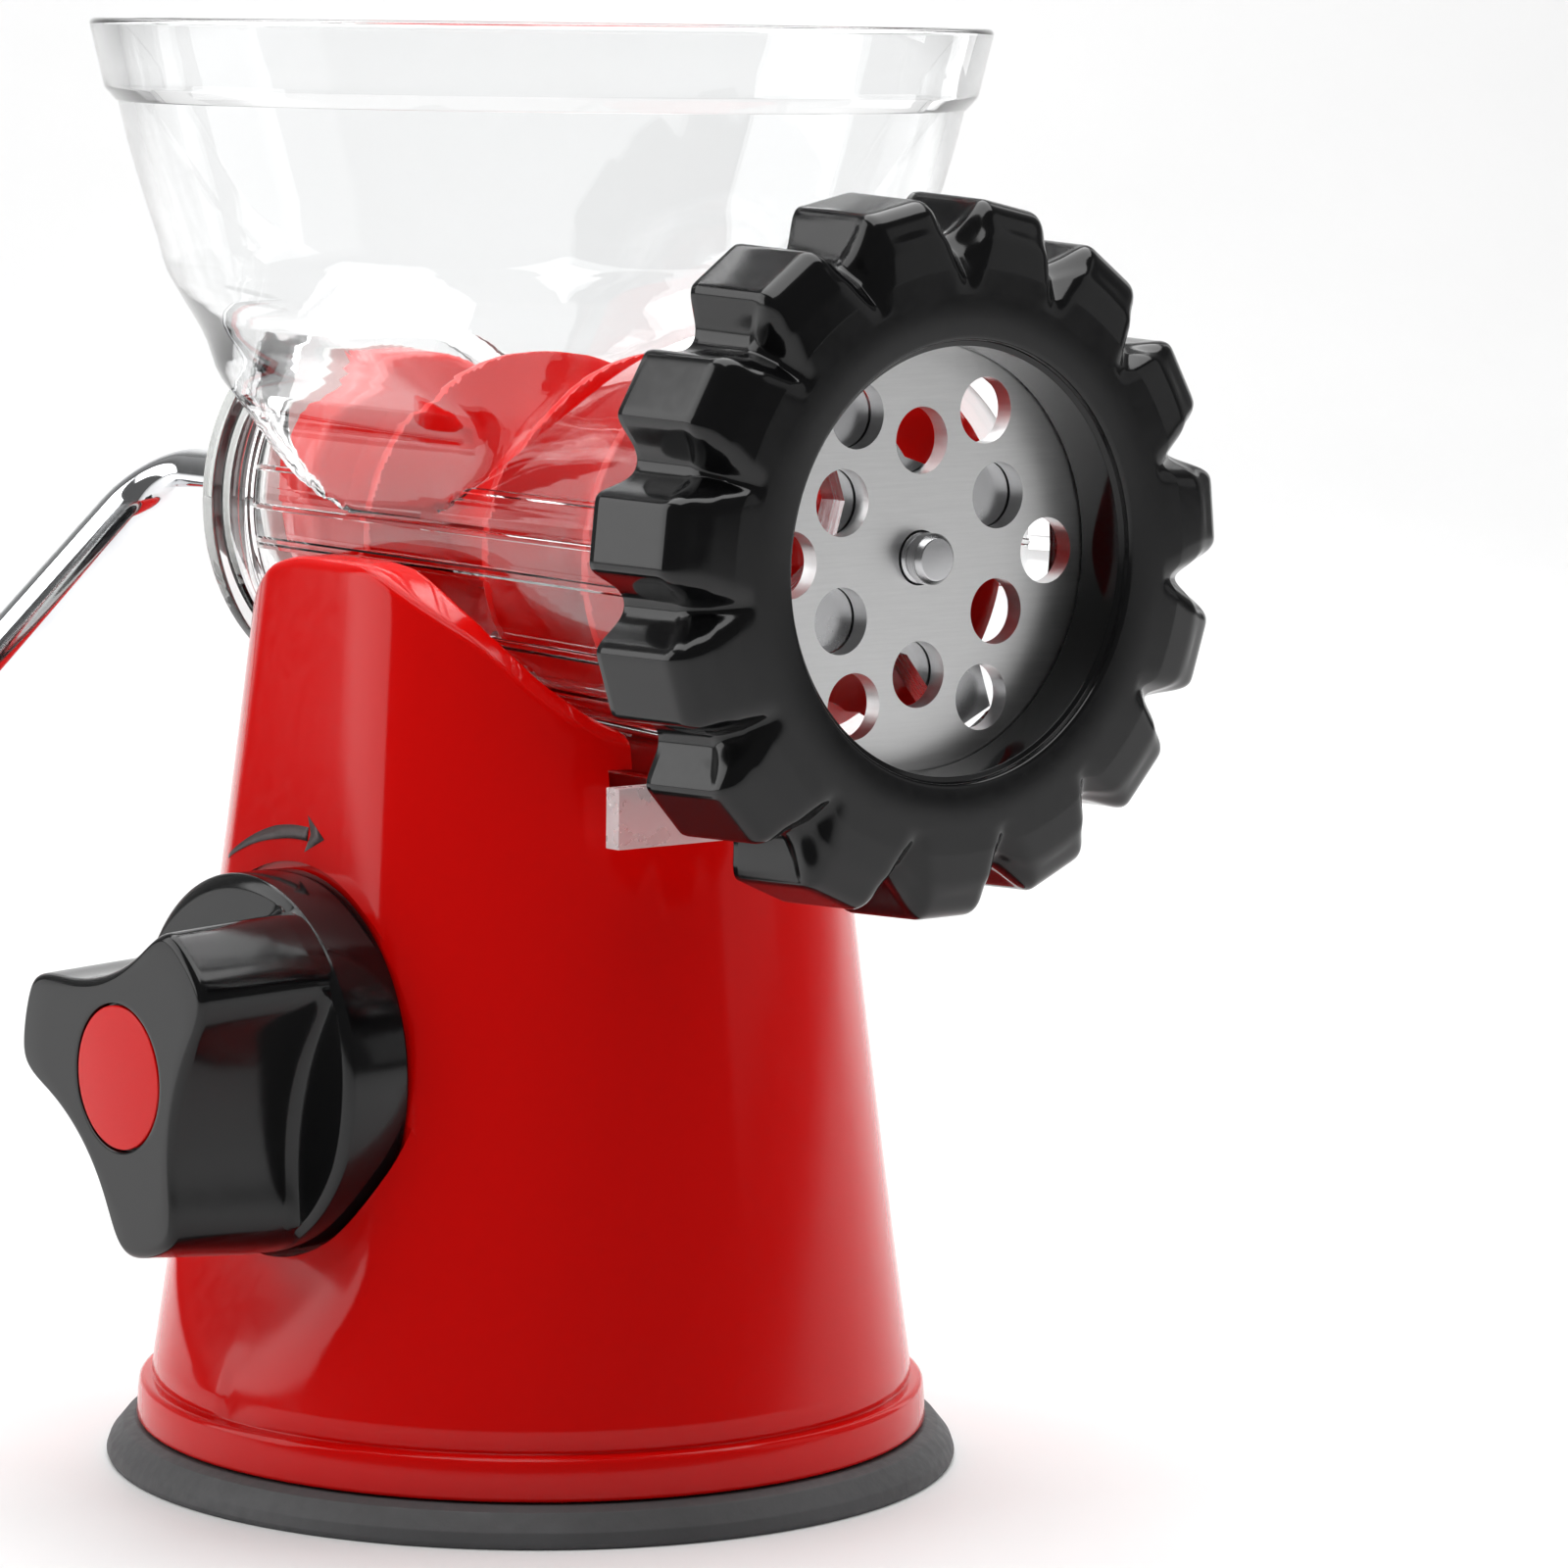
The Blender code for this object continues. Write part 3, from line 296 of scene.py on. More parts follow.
def put(name, mesh, place, material, angle=38):
    """An object whose vertices are already in the row frame."""
    mesh.transform(place)
    obj = bpy.data.objects.new(name, mesh)
    bpy.context.scene.collection.objects.link(obj)
    if material:
        mesh.materials.append(material)
    smooth(mesh, angle)
    return obj


def face_outwards(mesh, weld=0.0):
    """Turns all faces outwards, after joining points closer than weld."""
    built = bmesh.new()
    built.from_mesh(mesh)
    if weld:
        bmesh.ops.remove_doubles(built, verts=built.verts, dist=weld)
    bmesh.ops.recalc_face_normals(built, faces=built.faces)
    built.to_mesh(mesh)
    built.free()


def skin(name, rings, place, material, wrap=False, angle=38):
    """Skins rings of points in millimetres. The ends are closed by fans, or joined when wrap is set."""
    rings = [np.asarray(ring, float) for ring in rings]
    count, width = len(rings), len(rings[0])
    points = [tuple(p) for ring in rings for p in ring * MM]
    faces = []
    for k in range(count if wrap else count - 1):
        low, high = k * width, (k + 1) % count * width
        for i in range(width):
            j = (i + 1) % width
            faces.append((low + i, low + j, high + j, high + i))
    if not wrap:
        for start in (0, (count - 1) * width):
            centre = len(points)
            points.append(tuple(rings[start // width].mean(axis=0) * MM))
            faces += [(start + i, start + (i + 1) % width, centre) for i in range(width)]
    mesh = bpy.data.meshes.new(name)
    mesh.from_pydata(points, [], faces)
    face_outwards(mesh)
    return put(name, mesh, place, material, angle)


def rounded(profile, steps=5):
    """A polyline of (a, b) or (a, b, radius) corners with its marked corners made round."""
    out = []
    count = len(profile)
    for i, point in enumerate(profile):
        here = np.array(point[:2], float)
        radius = point[2] if len(point) > 2 else 0.0
        if not radius or i in (0, count - 1):
            out.append(tuple(here))
            continue
        before = np.array(profile[i - 1][:2], float) - here
        after = np.array(profile[i + 1][:2], float) - here
        reach = min(np.linalg.norm(before), np.linalg.norm(after)) * 0.49
        before /= np.linalg.norm(before)
        after /= np.linalg.norm(after)
        half = math.acos(max(-1.0, min(1.0, float(before @ after)))) / 2
        back = min(radius / math.tan(half), reach) if half < math.pi / 2 - 1e-3 else 0.0
        if back <= 0:
            out.append(tuple(here))
            continue
        radius = back * math.tan(half)
        centre = here + (before + after) / np.linalg.norm(before + after) * radius / math.sin(half)
        start, end = here + before * back - centre, here + after * back - centre
        a0, a1 = math.atan2(start[1], start[0]), math.atan2(end[1], end[0])
        turn = math.remainder(a1 - a0, 2 * math.pi)
        for k in range(steps + 1):
            angle = a0 + turn * k / steps
            out.append((centre[0] + radius * math.cos(angle), centre[1] + radius * math.sin(angle)))
    return out


def round_ring(radii, height, turns):
    """A ring about local Z with one radius for all angles, or one for each."""
    radii = np.broadcast_to(np.asarray(radii, float), len(turns))
    height = np.broadcast_to(np.asarray(height, float), len(turns))
    return np.column_stack((radii * np.cos(turns), radii * np.sin(turns), height))


def full_turn(steps):
    return np.linspace(0, 2 * math.pi, steps, endpoint=False)


def lathe(name, profile, place, material, steps=96, wrap=False):
    """A turned solid from (radius, height[, corner radius]) points about local Z."""
    points = rounded(profile)
    if not wrap:
        points = [(max(r, 0.02), h) for r, h in points]
    if not FINE:
        steps = max(24, steps // 2)
    return skin(name, [round_ring(r, h, full_turn(steps)) for r, h in points], place, material, wrap)


def solid_box(name, low, high):
    corners = [(x, y, z) for x in (low[0], high[0]) for y in (low[1], high[1]) for z in (low[2], high[2])]
    faces = [(0, 1, 3, 2), (4, 6, 7, 5), (0, 4, 5, 1), (2, 3, 7, 6), (0, 2, 6, 4), (1, 5, 7, 3)]
    mesh = bpy.data.meshes.new(name)
    mesh.from_pydata([tuple(c * MM for c in corner) for corner in corners], [], faces)
    return put(name, mesh, Matrix.Identity(4), None)


def rod(name, radius, low, high, place, x=0.0, y=0.0, steps=64):
    rings = [round_ring(radius, h, full_turn(steps)) + (x, y, 0.0) for h in (low, high)]
    return skin(name, rings, place, None)


def evaluated_mesh(obj):
    bpy.context.view_layer.update()
    graph = bpy.context.evaluated_depsgraph_get()
    return bpy.data.meshes.new_from_object(obj.evaluated_get(graph))


def shape(obj, other, operation="DIFFERENCE"):
    """Cuts or joins obj by another object, which is used up."""
    modifier = obj.modifiers.new("shape", "BOOLEAN")
    modifier.operation = operation
    modifier.object = other
    mesh = evaluated_mesh(obj)
    obj.modifiers.clear()
    obj.data = mesh
    bpy.data.objects.remove(other, do_unlink=True)
    smooth(mesh)
    return obj


def sheet_shape(name, outlines, rear, front, place, material):
    """Flat outlines of (x, y) points, the outer one first, as a sheet between two heights."""
    curve = bpy.data.curves.new(name, "CURVE")
    curve.dimensions = "2D"
    curve.fill_mode = "BOTH"
    curve.extrude = (front - rear) / 2 * MM
    for outline in outlines:
        spline = curve.splines.new("POLY")
        spline.points.add(len(outline) - 1)
        for point, (x, y) in zip(spline.points, outline):
            point.co = (x * MM, y * MM, 0.0, 1.0)
        spline.use_cyclic_u = True
    obj = bpy.data.objects.new(name, curve)
    bpy.context.scene.collection.objects.link(obj)
    mesh = evaluated_mesh(obj)
    bpy.data.objects.remove(obj, do_unlink=True)
    face_outwards(mesh, weld=0.000001)
    mesh.name = name
    middle = Matrix.Translation((0.0, 0.0, (front + rear) / 2 * MM))
    return put(name, mesh, place @ middle, material, 30)


def circle(x, y, radius, steps):
    turns = [2 * math.pi * i / steps for i in range(steps)]
    return [(x + radius * math.cos(a), y + radius * math.sin(a)) for a in turns]


def smooth_min(a, b, k):
    a, b = np.asarray(a, float), np.asarray(b, float)
    return np.minimum(a, b) - np.maximum(k - np.abs(a - b), 0) ** 2 / (4 * k)


def blend(a, b, t):
    return a + (b - a) * t


def softened(values, degrees):
    """Values at even steps round a full turn, smoothed over an angle."""
    count = len(values)
    away = np.minimum(np.arange(count), count - np.arange(count)) * 360.0 / count
    weight = np.exp(-0.5 * (away / degrees) ** 2)
    return np.real(np.fft.ifft(np.fft.fft(values) * np.fft.fft(weight / weight.sum())))


def stand_for(obj, node, body):
    """Shows obj instead of a CAD node, on its body."""
    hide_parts(node)
    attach(obj, body)


# ---------------------------------------------------------------- base shell


def cone_radius(z):
    rise = z - CONE_LOW
    return CONE_R - 0.146 * rise + 0.00012 * rise * rise


def side_half_width(z):
    share = np.clip((z - CONE_LOW) / 30.0, 0, 1)
    return blend(cone_radius(z), SIDE_X - SIDE_SLOPE * z, share * share * (3 - 2 * share))


def crease_angle(z):
    """How far from the side's middle the flat side meets the cone."""
    return max(math.radians(9), math.acos(min(1.0, side_half_width(z) / cone_radius(z))))


def shell_reach(angle, z, inset=0.0):
    """The shell's radius at an angle: crisp behind where the flat side ends, soft in front."""
    flat = (side_half_width(z) - inset) / max(abs(math.cos(angle)), 1e-6)
    softness = 0.35 if math.sin(angle) > 0 else 2.2
    return float(smooth_min(cone_radius(z) - inset, flat, softness))


def shell_columns():
    """Column positions as (quadrant, share), bunched about the crease at share 1."""
    if FINE:
        flat = [0, 0.15, 0.3, 0.45, 0.6, 0.72, 0.82, 0.9, 0.95, 0.98]
        bend = [1.0, 1.02, 1.05, 1.1, 1.15, 1.2] + [1.2 + 0.8 * i / 16 for i in range(1, 16)]
    else:
        flat = [0, 0.4, 0.8]
        bend = [1.0, 1.1, 1.4, 1.7]
    shares = flat + bend + [2.0]
    quarter = [(0, s) for s in shares[:-1]] + [(1, s) for s in reversed(shares[1:])]
    return quarter + [(2, s) for s in shares[:-1]] + [(3, s) for s in reversed(shares[1:])]


def column_angle(column, z):
    """Quadrant 0 runs from +X to +Y, quadrant 1 on to -X, and so on."""
    quadrant, share = column
    crease = crease_angle(z)
    away = share * crease if share <= 1 else blend(crease, math.pi / 2, share - 1)
    return [away, math.pi - away, math.pi + away, -away][quadrant]


def ear_height(y):
    """The height of the ears' outline along the barrel."""
    ys = [0, 8, 12, 16, 20, 24, 28, 31, 34, 36, 39, 43, 46, 60]
    zs = [149.3, 149.3, 148.7, 147.2, 145.0, 142.6, 140.2, 137.6, 134.4, 131.8, 128.2, 124.6, 122.6, 114.0]
    return float(np.interp(abs(y), ys, zs))


def ear_smooth(y):
    return float(np.mean([ear_height(y + d) for d in np.linspace(-3, 3, 13)])) + 0.05


def top_height(x, y):
    """The shell's upper face: the ears' outline, cut by the saddle that the barrel lies in."""
    saddle = AXIS_Z - math.sqrt(max(SADDLE_R**2 - x * x, 0.0)) if abs(x) < SADDLE_R else 999.0
    return float(smooth_min(min(ear_smooth(y), EAR_TOP), saddle, 1.6))


def shell_profile(column):
    """One column's points, from the band's underside up the side, over the edge and in to the middle."""
    points = []
    for radius, z in rounded([
        (BAND_R - 3, BAND_LOW), (BAND_R, BAND_LOW, 0.7), (BAND_R - 0.5, BAND_HIGH, 1.1),
        (CONE_R - 0.35, BAND_HIGH + 0.05, 0.3), (CONE_R - 0.3, CONE_LOW, 0.4),
    ], 4)[:-1]:
        angle = column_angle(column, CONE_LOW)
        points.append((radius * math.cos(angle), radius * math.sin(angle), z))
    levels = list(np.linspace(CONE_LOW, 46, 12 if FINE else 5))
    levels += list(np.linspace(46, SIDE_TOP, 12 if FINE else 4))[1:]
    for z in levels:
        angle = column_angle(column, z)
        reach = shell_reach(angle, z)
        points.append((reach * math.cos(angle), reach * math.sin(angle), z))
    edge = 125.0
    for _ in range(30):
        angle = column_angle(column, edge)
        reach = shell_reach(angle, edge)
        edge = blend(edge, top_height(reach * math.cos(angle), reach * math.sin(angle)), 0.6)
    angle = column_angle(column, edge)
    reach = shell_reach(angle, edge)
    direction = np.array((math.cos(angle), math.sin(angle)))
    inner = top_height(*(direction * (reach - 2.0)))
    side = np.array((shell_reach(angle, edge - 4) - reach, -4.0))
    side /= np.linalg.norm(side)
    inward = np.array((-2.0, inner - edge))
    inward /= np.linalg.norm(inward)
    half = math.acos(float(side @ inward)) / 2
    fillet = 2.3
    back = min(fillet / math.tan(half), 3.4)
    fillet = back * math.tan(half)
    corner = np.array((reach, edge))
    for t in np.linspace(0, 1, 12 if FINE else 4)[1:]:
        z = blend(SIDE_TOP, edge + side[1] * back, t)
        a = column_angle(column, z)
        r = shell_reach(a, z)
        points.append((r * math.cos(a), r * math.sin(a), z))
    centre = corner + (side + inward) / np.linalg.norm(side + inward) * fillet / math.sin(half)
    start, end = corner + side * back - centre, corner + inward * back - centre
    a0, a1 = math.atan2(start[1], start[0]), math.atan2(end[1], end[0])
    turn = math.remainder(a1 - a0, 2 * math.pi)
    arc = 7 if FINE else 3
    for k in range(1, arc + 1):
        a = a0 + turn * k / arc
        r, z = centre + fillet * np.array((math.cos(a), math.sin(a)))
        points.append((*(direction * r), z))
    r_from = float((corner + inward * back)[0])
    wall = 33.9 / max(abs(direction[0]), 1e-6)
    r_wall = min(r_from - 0.6, wall)
    lip = 8 if FINE else 3
    for t in np.linspace(0, 1, lip + 1)[1:]:
        r = blend(r_from, r_wall, t)
        points.append((*(direction * r), top_height(*(direction * r))))
    tilt = math.asin(min(r_wall * abs(direction[0]) / SADDLE_R, 0.986))
    slices = 34 if FINE else 9
    for i in range(1, slices):
        share = 1 - i / slices
        r = r_wall * (math.sin(tilt * share) / math.sin(tilt) if tilt > 1e-3 else share)
        points.append((*(direction * r), top_height(*(direction * r))))
    return points


def ring_at(z, inset, columns):
    ring = []
    for column in columns:
        angle = column_angle(column, z)
        reach = shell_reach(angle, z, inset)
        ring.append((reach * math.cos(angle), reach * math.sin(angle), z))
    return np.array(ring)


def make_base_shell():
    columns = shell_columns()
    profiles = np.array([shell_profile(column) for column in columns])
    shell = skin("grinder_base", profiles.transpose(1, 0, 2), upright(), RED, angle=32)
    inside = [ring_at(z, WALL, columns) for z in (CONE_LOW, 20, 26, 32, 38, 44, 60, 80, DECK_LOW)]
    inside.insert(0, inside[0] * (1, 1, 0) + (0, 0, BAND_LOW - 1))
    cavity = skin("cavity", inside, upright(), None)
    shape(cavity, rod("cavity_pad", RECESS_R + WALL, -RECESS_X - WALL, 70.0, along_knob()))
    shape(shell, cavity)
    for half, low, high in ((TRACK_HALF, TRACK_LOW, TRACK_HIGH), (TRACK_MOUTH_HALF, TRACK_HIGH - 1, 136)):
        shape(shell, solid_box("track", (-half, -80, low), (half, TRACK_END, high)))
    shape(shell, rod("recess", RECESS_R, -RECESS_X, 90.0, along_knob(), steps=160))
    shape(shell, rod("shaft_hole", 6.3, 35.0, 60.0, along_knob()))
    for x, y in POSTS:
        shape(shell, rod("post", POST_R, POST_LOW, DECK_LOW + 1.5, upright(), x, y, 24), "UNION")
        shape(shell, rod("post_hole", 1.8, POST_LOW - 2, POST_LOW + 14, upright(), x, y, 16))
    stand_for(shell, "base_shell", "base")


def side_point(y, z, lift):
    """A point just outside the shell on the knob's side."""
    x = -45.0
    for _ in range(40):
        angle = math.atan2(y, x)
        x = -math.sqrt(max(shell_reach(angle, z) ** 2 - y * y, 1.0))
    return (x - lift, y, z)


def make_arrow():
    """A plain curved arrow printed above the knob, pointing the way that locks the base."""
    radius, start, end = 36.0, math.radians(56), math.radians(93)
    points, faces = [], []
    steps = 36
    for i in range(steps + 1):
        angle = blend(start, end, i / steps)
        half = 0.25 + 0.85 * min(1.0, i / steps * 1.6)
        for offset in (-half, half):
            y, z = (radius + offset) * math.cos(angle), KNOB_Z + (radius + offset) * math.sin(angle)
            points.append(side_point(y, z, 0.06))
    faces += [(2 * i, 2 * i + 1, 2 * i + 3, 2 * i + 2) for i in range(steps)]
    head = len(points)
    for angle, offset in ((end - 0.015, -2.9), (end + 0.125, 0.15), (end - 0.015, 2.9), (end + 0.02, 0.1)):
        y, z = (radius + offset) * math.cos(angle), KNOB_Z + (radius + offset) * math.sin(angle)
        points.append(side_point(y, z, 0.06))
    faces += [(head, head + 1, head + 3), (head + 1, head + 2, head + 3)]
    mesh = bpy.data.meshes.new("lock_arrow")
    mesh.from_pydata([tuple(c * MM for c in p) for p in points], [], faces)
    arrow = put("lock_arrow", mesh, Matrix.Identity(4), INK)
    thick = arrow.modifiers.new("thick", "SOLIDIFY")
    thick.thickness = 0.00005
    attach(arrow, "base")


def make_suction_cup():
    pocket = 13.5
    cup = lathe("rubber_cup", [
        (0, 3.2), (pocket, 3.2, 0.4), (pocket, 8.5, 0.3), (17.5, 8.5, 0.5), (19.5, 3.6, 1.0),
        (56, 3.6, 1.0), (60, 6.0, 0.8), (65.4, 6.0, 0.6), (67.2, 5.3, 0.8), (69.4, 2.6, 1.2),
        (70.0, 0.9, 0.5), (69.6, 0, 0.3), (0, 0),
    ], upright(), RUBBER, 160)
    stand_for(cup, "suction_cup", "base")


# ---------------------------------------------------------------- knob


def knob_reach(turns, tip, valley):
    """Three lobes with round corners, and between them hollows that are arcs of a large circle."""
    centre = valley + KNOB_HOLLOW_R
    away = np.abs((turns - KNOB_PHASE) % (2 * math.pi / 3) - math.pi / 3)
    away = np.minimum(away, math.asin(KNOB_HOLLOW_R / centre))
    reach = centre * np.cos(away) - np.sqrt(np.maximum(KNOB_HOLLOW_R**2 - (centre * np.sin(away)) ** 2, 0))
    return softened(np.minimum(reach, tip), 4.0)


def make_knob():
    steps = 300 if FINE else 72
    turns = full_turn(steps)
    bore = SHAFT_R + GAP
    shoulder, fillet, edge = KNOB_SKIRT_R - 1.3, 2.4, 1.6
    foot = knob_reach(turns, KNOB_FOOT_R, KNOB_VALLEY_R + 0.4)
    face = knob_reach(turns, KNOB_TIP_R - 0.1, KNOB_VALLEY_R - 0.3)
    rings = []

    def add(radii, height):
        rings.append(round_ring(radii, height, turns))

    for r, h in rounded([
        (KNOB_SKIRT_R - 4, KNOB_REAR), (KNOB_SKIRT_R, KNOB_REAR, 0.5),
        (KNOB_SKIRT_R, KNOB_STEP - 1.0, 0.8), (shoulder, KNOB_STEP),
    ], 5):
        add(np.maximum(r, foot) if h > KNOB_STEP - 3 else r, h)
    rim = np.maximum(shoulder, foot)
    for share in np.linspace(0, 1, 8 if FINE else 3)[1:]:
        add(blend(rim, np.minimum(rim, foot + fillet), share), KNOB_STEP + 0.02 + 0.1 * share)
    arc = 8 if FINE else 3
    for k in range(1, arc + 1):
        angle = math.pi / 2 * k / arc
        height = KNOB_STEP + 0.12 + fillet * (1 - math.cos(angle))
        add(np.minimum(rim, foot + fillet * (1 - math.sin(angle))), height)
    for share in (0.25, 0.5, 0.75, 1.0):
        add(blend(foot, face, share), blend(KNOB_STEP + 2.8, KNOB_FACE - edge, share))
    for k in range(1, 8):
        angle = math.pi / 2 * k / 7
        add(face - edge * (1 - math.cos(angle)), KNOB_FACE - edge * (1 - math.sin(angle)))
    for share in (0.35, 0.7):
        add(blend(face - edge, CAP_R + 1.2, share), KNOB_FACE)
    for r, h in rounded([
        (CAP_R + 1.0, KNOB_FACE), (CAP_R + GAP, KNOB_FACE, 0.2), (CAP_R + GAP, KNOB_FACE - 1.5, 0.1),
        (5.0, KNOB_FACE - 1.5, 0.1), (5.0, KNOB_FACE - 6.3, 0.1), (1.7, KNOB_FACE - 6.3),
        (1.7, KNOB_FACE - 7.0), (bore, KNOB_FACE - 7.0), (bore, KNOB_REAR),
    ], 2):
        add(r, h)
    knob = skin("locking_knob", rings, along_knob(), BLACK, wrap=True, angle=40)
    stand_for(knob, "lock_knob", "knob")
    disc_r, disc_rear = CAP_R - 0.05, KNOB_FACE - 1.2
    disc = [(0, KNOB_FACE), (disc_r, KNOB_FACE, 0.25), (disc_r, disc_rear), (0, disc_rear)]
    cap = lathe("knob_disc", disc, along_knob(), RED)
    stand_for(cap, "knob_cap", "knob")


# ---------------------------------------------------------------- barrel and hopper

# Rows of (height, half width across, half width along, corner radius)
HOPPER_SECTIONS = [
    (150.0, 30.0, 9.0, 4.0),
    (154.0, 31.2, 13.0, 4.0),
    (161.0, 33.0, 26.5, 6.0),
    (171.5, 36.5, 40.0, 12.0),
    (176.0, 41.0, 44.5, 19.0),
    (183.0, 47.5, 50.0, 34.0),
    (191.5, 58.8, 58.8, 58.8),
    (200.0, 62.0, 62.0, 62.0),
    (213.0, 66.1, 66.1, 66.1),
    (234.0, 70.9, 70.9, 70.9),
]


def section_at(height):
    """A smooth section between the given ones: (half width across, half width along, corner)."""
    rows = np.array(HOPPER_SECTIONS)
    heights = rows[:, 0]
    slopes = np.gradient(rows[:, 1:], heights, axis=0)
    k = int(np.clip(np.searchsorted(heights, height) - 1, 0, len(heights) - 2))
    span = heights[k + 1] - heights[k]
    t = np.clip((height - heights[k]) / span, 0, 1)
    h00, h10 = 2 * t**3 - 3 * t**2 + 1, t**3 - 2 * t**2 + t
    h01, h11 = -2 * t**3 + 3 * t**2, t**3 - t**2
    return h00 * rows[k, 1:] + h10 * span * slopes[k] + h01 * rows[k + 1, 1:] + h11 * span * slopes[k + 1]


def rounded_rectangle(half_x, half_y, radius, height, steps):
    radius = max(0.5, min(radius, half_x, half_y))
    core_x, core_y = half_x - radius, half_y - radius
    ring = []
    for i in range(steps):
        angle = 2 * math.pi * i / steps
        c, s = math.cos(angle), math.sin(angle)
        reach = min(half_x / max(abs(c), 1e-9), half_y / max(abs(s), 1e-9))
        x, y = reach * c, reach * s
        if abs(x) > core_x and abs(y) > core_y:
            along = abs(c) * core_x + abs(s) * core_y
            reach = along + math.sqrt(max(0.0, along * along - core_x**2 - core_y**2 + radius**2))
            x, y = reach * c, reach * s
        ring.append((x, y, height))
    return ring


def hopper_rings(inset, steps, top):
    """The bowl's sections from the barrel's axis up. The last one is moved to the height top."""
    heights = list(np.linspace(HOPPER_SECTIONS[0][0], 196, 24 if FINE else 10))
    heights += list(np.linspace(196, RIM_TOP, 12 if FINE else 5))[1:]
    rings = []
    for height in heights:
        half_x, half_y, corner = section_at(height) - inset
        if inset and height < AXIS_Z:
            half_x -= 0.8
        level = top if height == RIM_TOP else height
        rings.append(rounded_rectangle(half_x, half_y, corner, level, steps))
    return rings


def barrel_columns(steps):
    """Angles round the barrel, bunched about its thin lengthwise ribs."""
    ribs = [math.radians(a) for a in (168.5, 180.0, 190.0, 192.0, 211.5, 214.0, 229.0)]
    ribs += [math.pi - a for a in ribs]
    angles = set(np.round(np.linspace(0, 2 * math.pi, steps, endpoint=False), 6))
    for rib in ribs:
        for offset in (-0.016, -0.009, 0.0, 0.009, 0.016):
            angles.add(round((rib + offset) % (2 * math.pi), 6))
    return sorted(angles), ribs


def make_barrel_hopper():
    steps = 180 if FINE else 48
    angles, ribs = barrel_columns(steps)
    angles = np.array(angles)
    away = np.min([np.abs(np.vectorize(math.remainder)(angles - rib, 2 * math.pi)) for rib in ribs], axis=0)
    rib_height = 0.45 * np.clip((0.0161 - away) / 0.0071, 0, 1)
    profile = rounded([
        (0.02, BARREL_FRONT), (THREAD_R, BARREL_FRONT, 0.8), (THREAD_R, THREAD_REAR, 0.8),
        (OUTER_FRONT_R, 82.5, 2.0), (OUTER_REAR_R, -36.0, 1.0), (FLANGE_R - 0.8, -36.0, 0.4),
        (FLANGE_R - 0.8, -38.5, 0.4), (FLANGE_GROOVE_R, -38.5, 0.4), (FLANGE_GROOVE_R, -44.5, 0.4),
        (FLANGE_R, -44.5, 0.5), (FLANGE_R, BARREL_REAR, 0.8), (0.02, BARREL_REAR),
    ], 4)
    rings = []
    for r, h in profile:
        radii = r + (rib_height if -35.5 < h < 84 and r > 30 else 0.0)
        rings.append(round_ring(radii, h, angles))
    body = skin("clear_barrel", rings, along_barrel(), CLEAR)
    shape(body, skin("bowl", hopper_rings(0.0, steps, RIM_TOP - 1), upright(), None), "UNION")
    band = lathe("band", [
        (67.5, RIM_TOP - 0.1), (69.2, RIM_TOP, 0.6), (RIM_R, RIM_TOP, 0.9), (RIM_R - 2.6, 223.0, 1.6),
        (RIM_R - 4.6, 220.8, 0.8), (64.5, 220.8), (66.0, 228.0),
    ], upright(), None, 2 * steps, wrap=True)
    shape(body, band, "UNION")
    for centre in (-WEB_X, WEB_X):
        low = (centre - WEB_HALF, -FOOT_FRONT - 0.6, FOOT_LOW + 1)
        high = (centre + WEB_HALF, -FOOT_REAR - 1.2, AXIS_Z - 20)
        shape(body, solid_box("web", low, high), "UNION")
    foot = solid_box("foot", (-FOOT_HALF, -FOOT_FRONT - 1, FOOT_LOW), (FOOT_HALF, -FOOT_REAR, FOOT_HIGH))
    shape(body, foot, "UNION")
    stop = solid_box("stop", (-STOP_HALF, -FOOT_FRONT - 3.2, 108.2), (STOP_HALF, -FOOT_FRONT, STOP_HIGH))
    shape(body, stop, "UNION")
    bore = [
        (0, PLATE_SEAT + 6), (BORE_FRONT_R, PLATE_SEAT + 6), (BORE_FRONT_R, PLATE_SEAT),
        (BORE_REAR_R, BORE_END), (0, BORE_END),
    ]
    shape(body, lathe("bore", bore, along_barrel(), None, 2 * steps))
    shape(body, skin("bowl_inside", hopper_rings(HOPPER_WALL, steps, RIM_TOP + 3), upright(), None))
    shape(body, rod("seat", PLATE_R + 0.5, PLATE_SEAT, 110, along_barrel(), steps=steps))
    for i in range(EARS):
        angle = i * 2 * math.pi / EARS
        x, y = EAR_PITCH_R * math.cos(angle), EAR_PITCH_R * math.sin(angle)
        shape(body, rod("ear", EAR_R + 0.4, PLATE_SEAT, 110, along_barrel(), x, y, 24))
    shape(body, rod("rear", 14.3, -60, -40, along_barrel(), steps=64))
    body.data.materials.append(FROSTED)
    for face in body.data.polygons:
        if face.center.y < -(FOOT_FRONT - 0.1) * MM and face.center.z < (STOP_HIGH + 0.1) * MM:
            face.material_index = 1
    stand_for(body, "barrel_hopper", "barrel")


def make_rear_bush():
    bore, sleeve, flange = 11.7, 14.0, 24.0
    front, rear = -42.8, BARREL_REAR - 0.6
    bush = lathe("white_bush", [
        (bore, front, 0.3), (flange, front, 0.4), (flange, front - 2.0, 0.3), (sleeve, front - 2.0, 0.2),
        (sleeve, rear, 0.3), (bore, rear, 0.3), (bore, front - 0.5),
    ], along_barrel(), WHITE, wrap=True)
    stand_for(bush, "rear_bush", "barrel")


# ---------------------------------------------------------------- screw and cutting set


def flight_turns(back):
    start, first, growth = 6.5, 13.0, 3.6
    under = first * first + 4 * growth * (back - start)
    return (math.sqrt(max(under, 1.0)) - first) / (2 * growth)


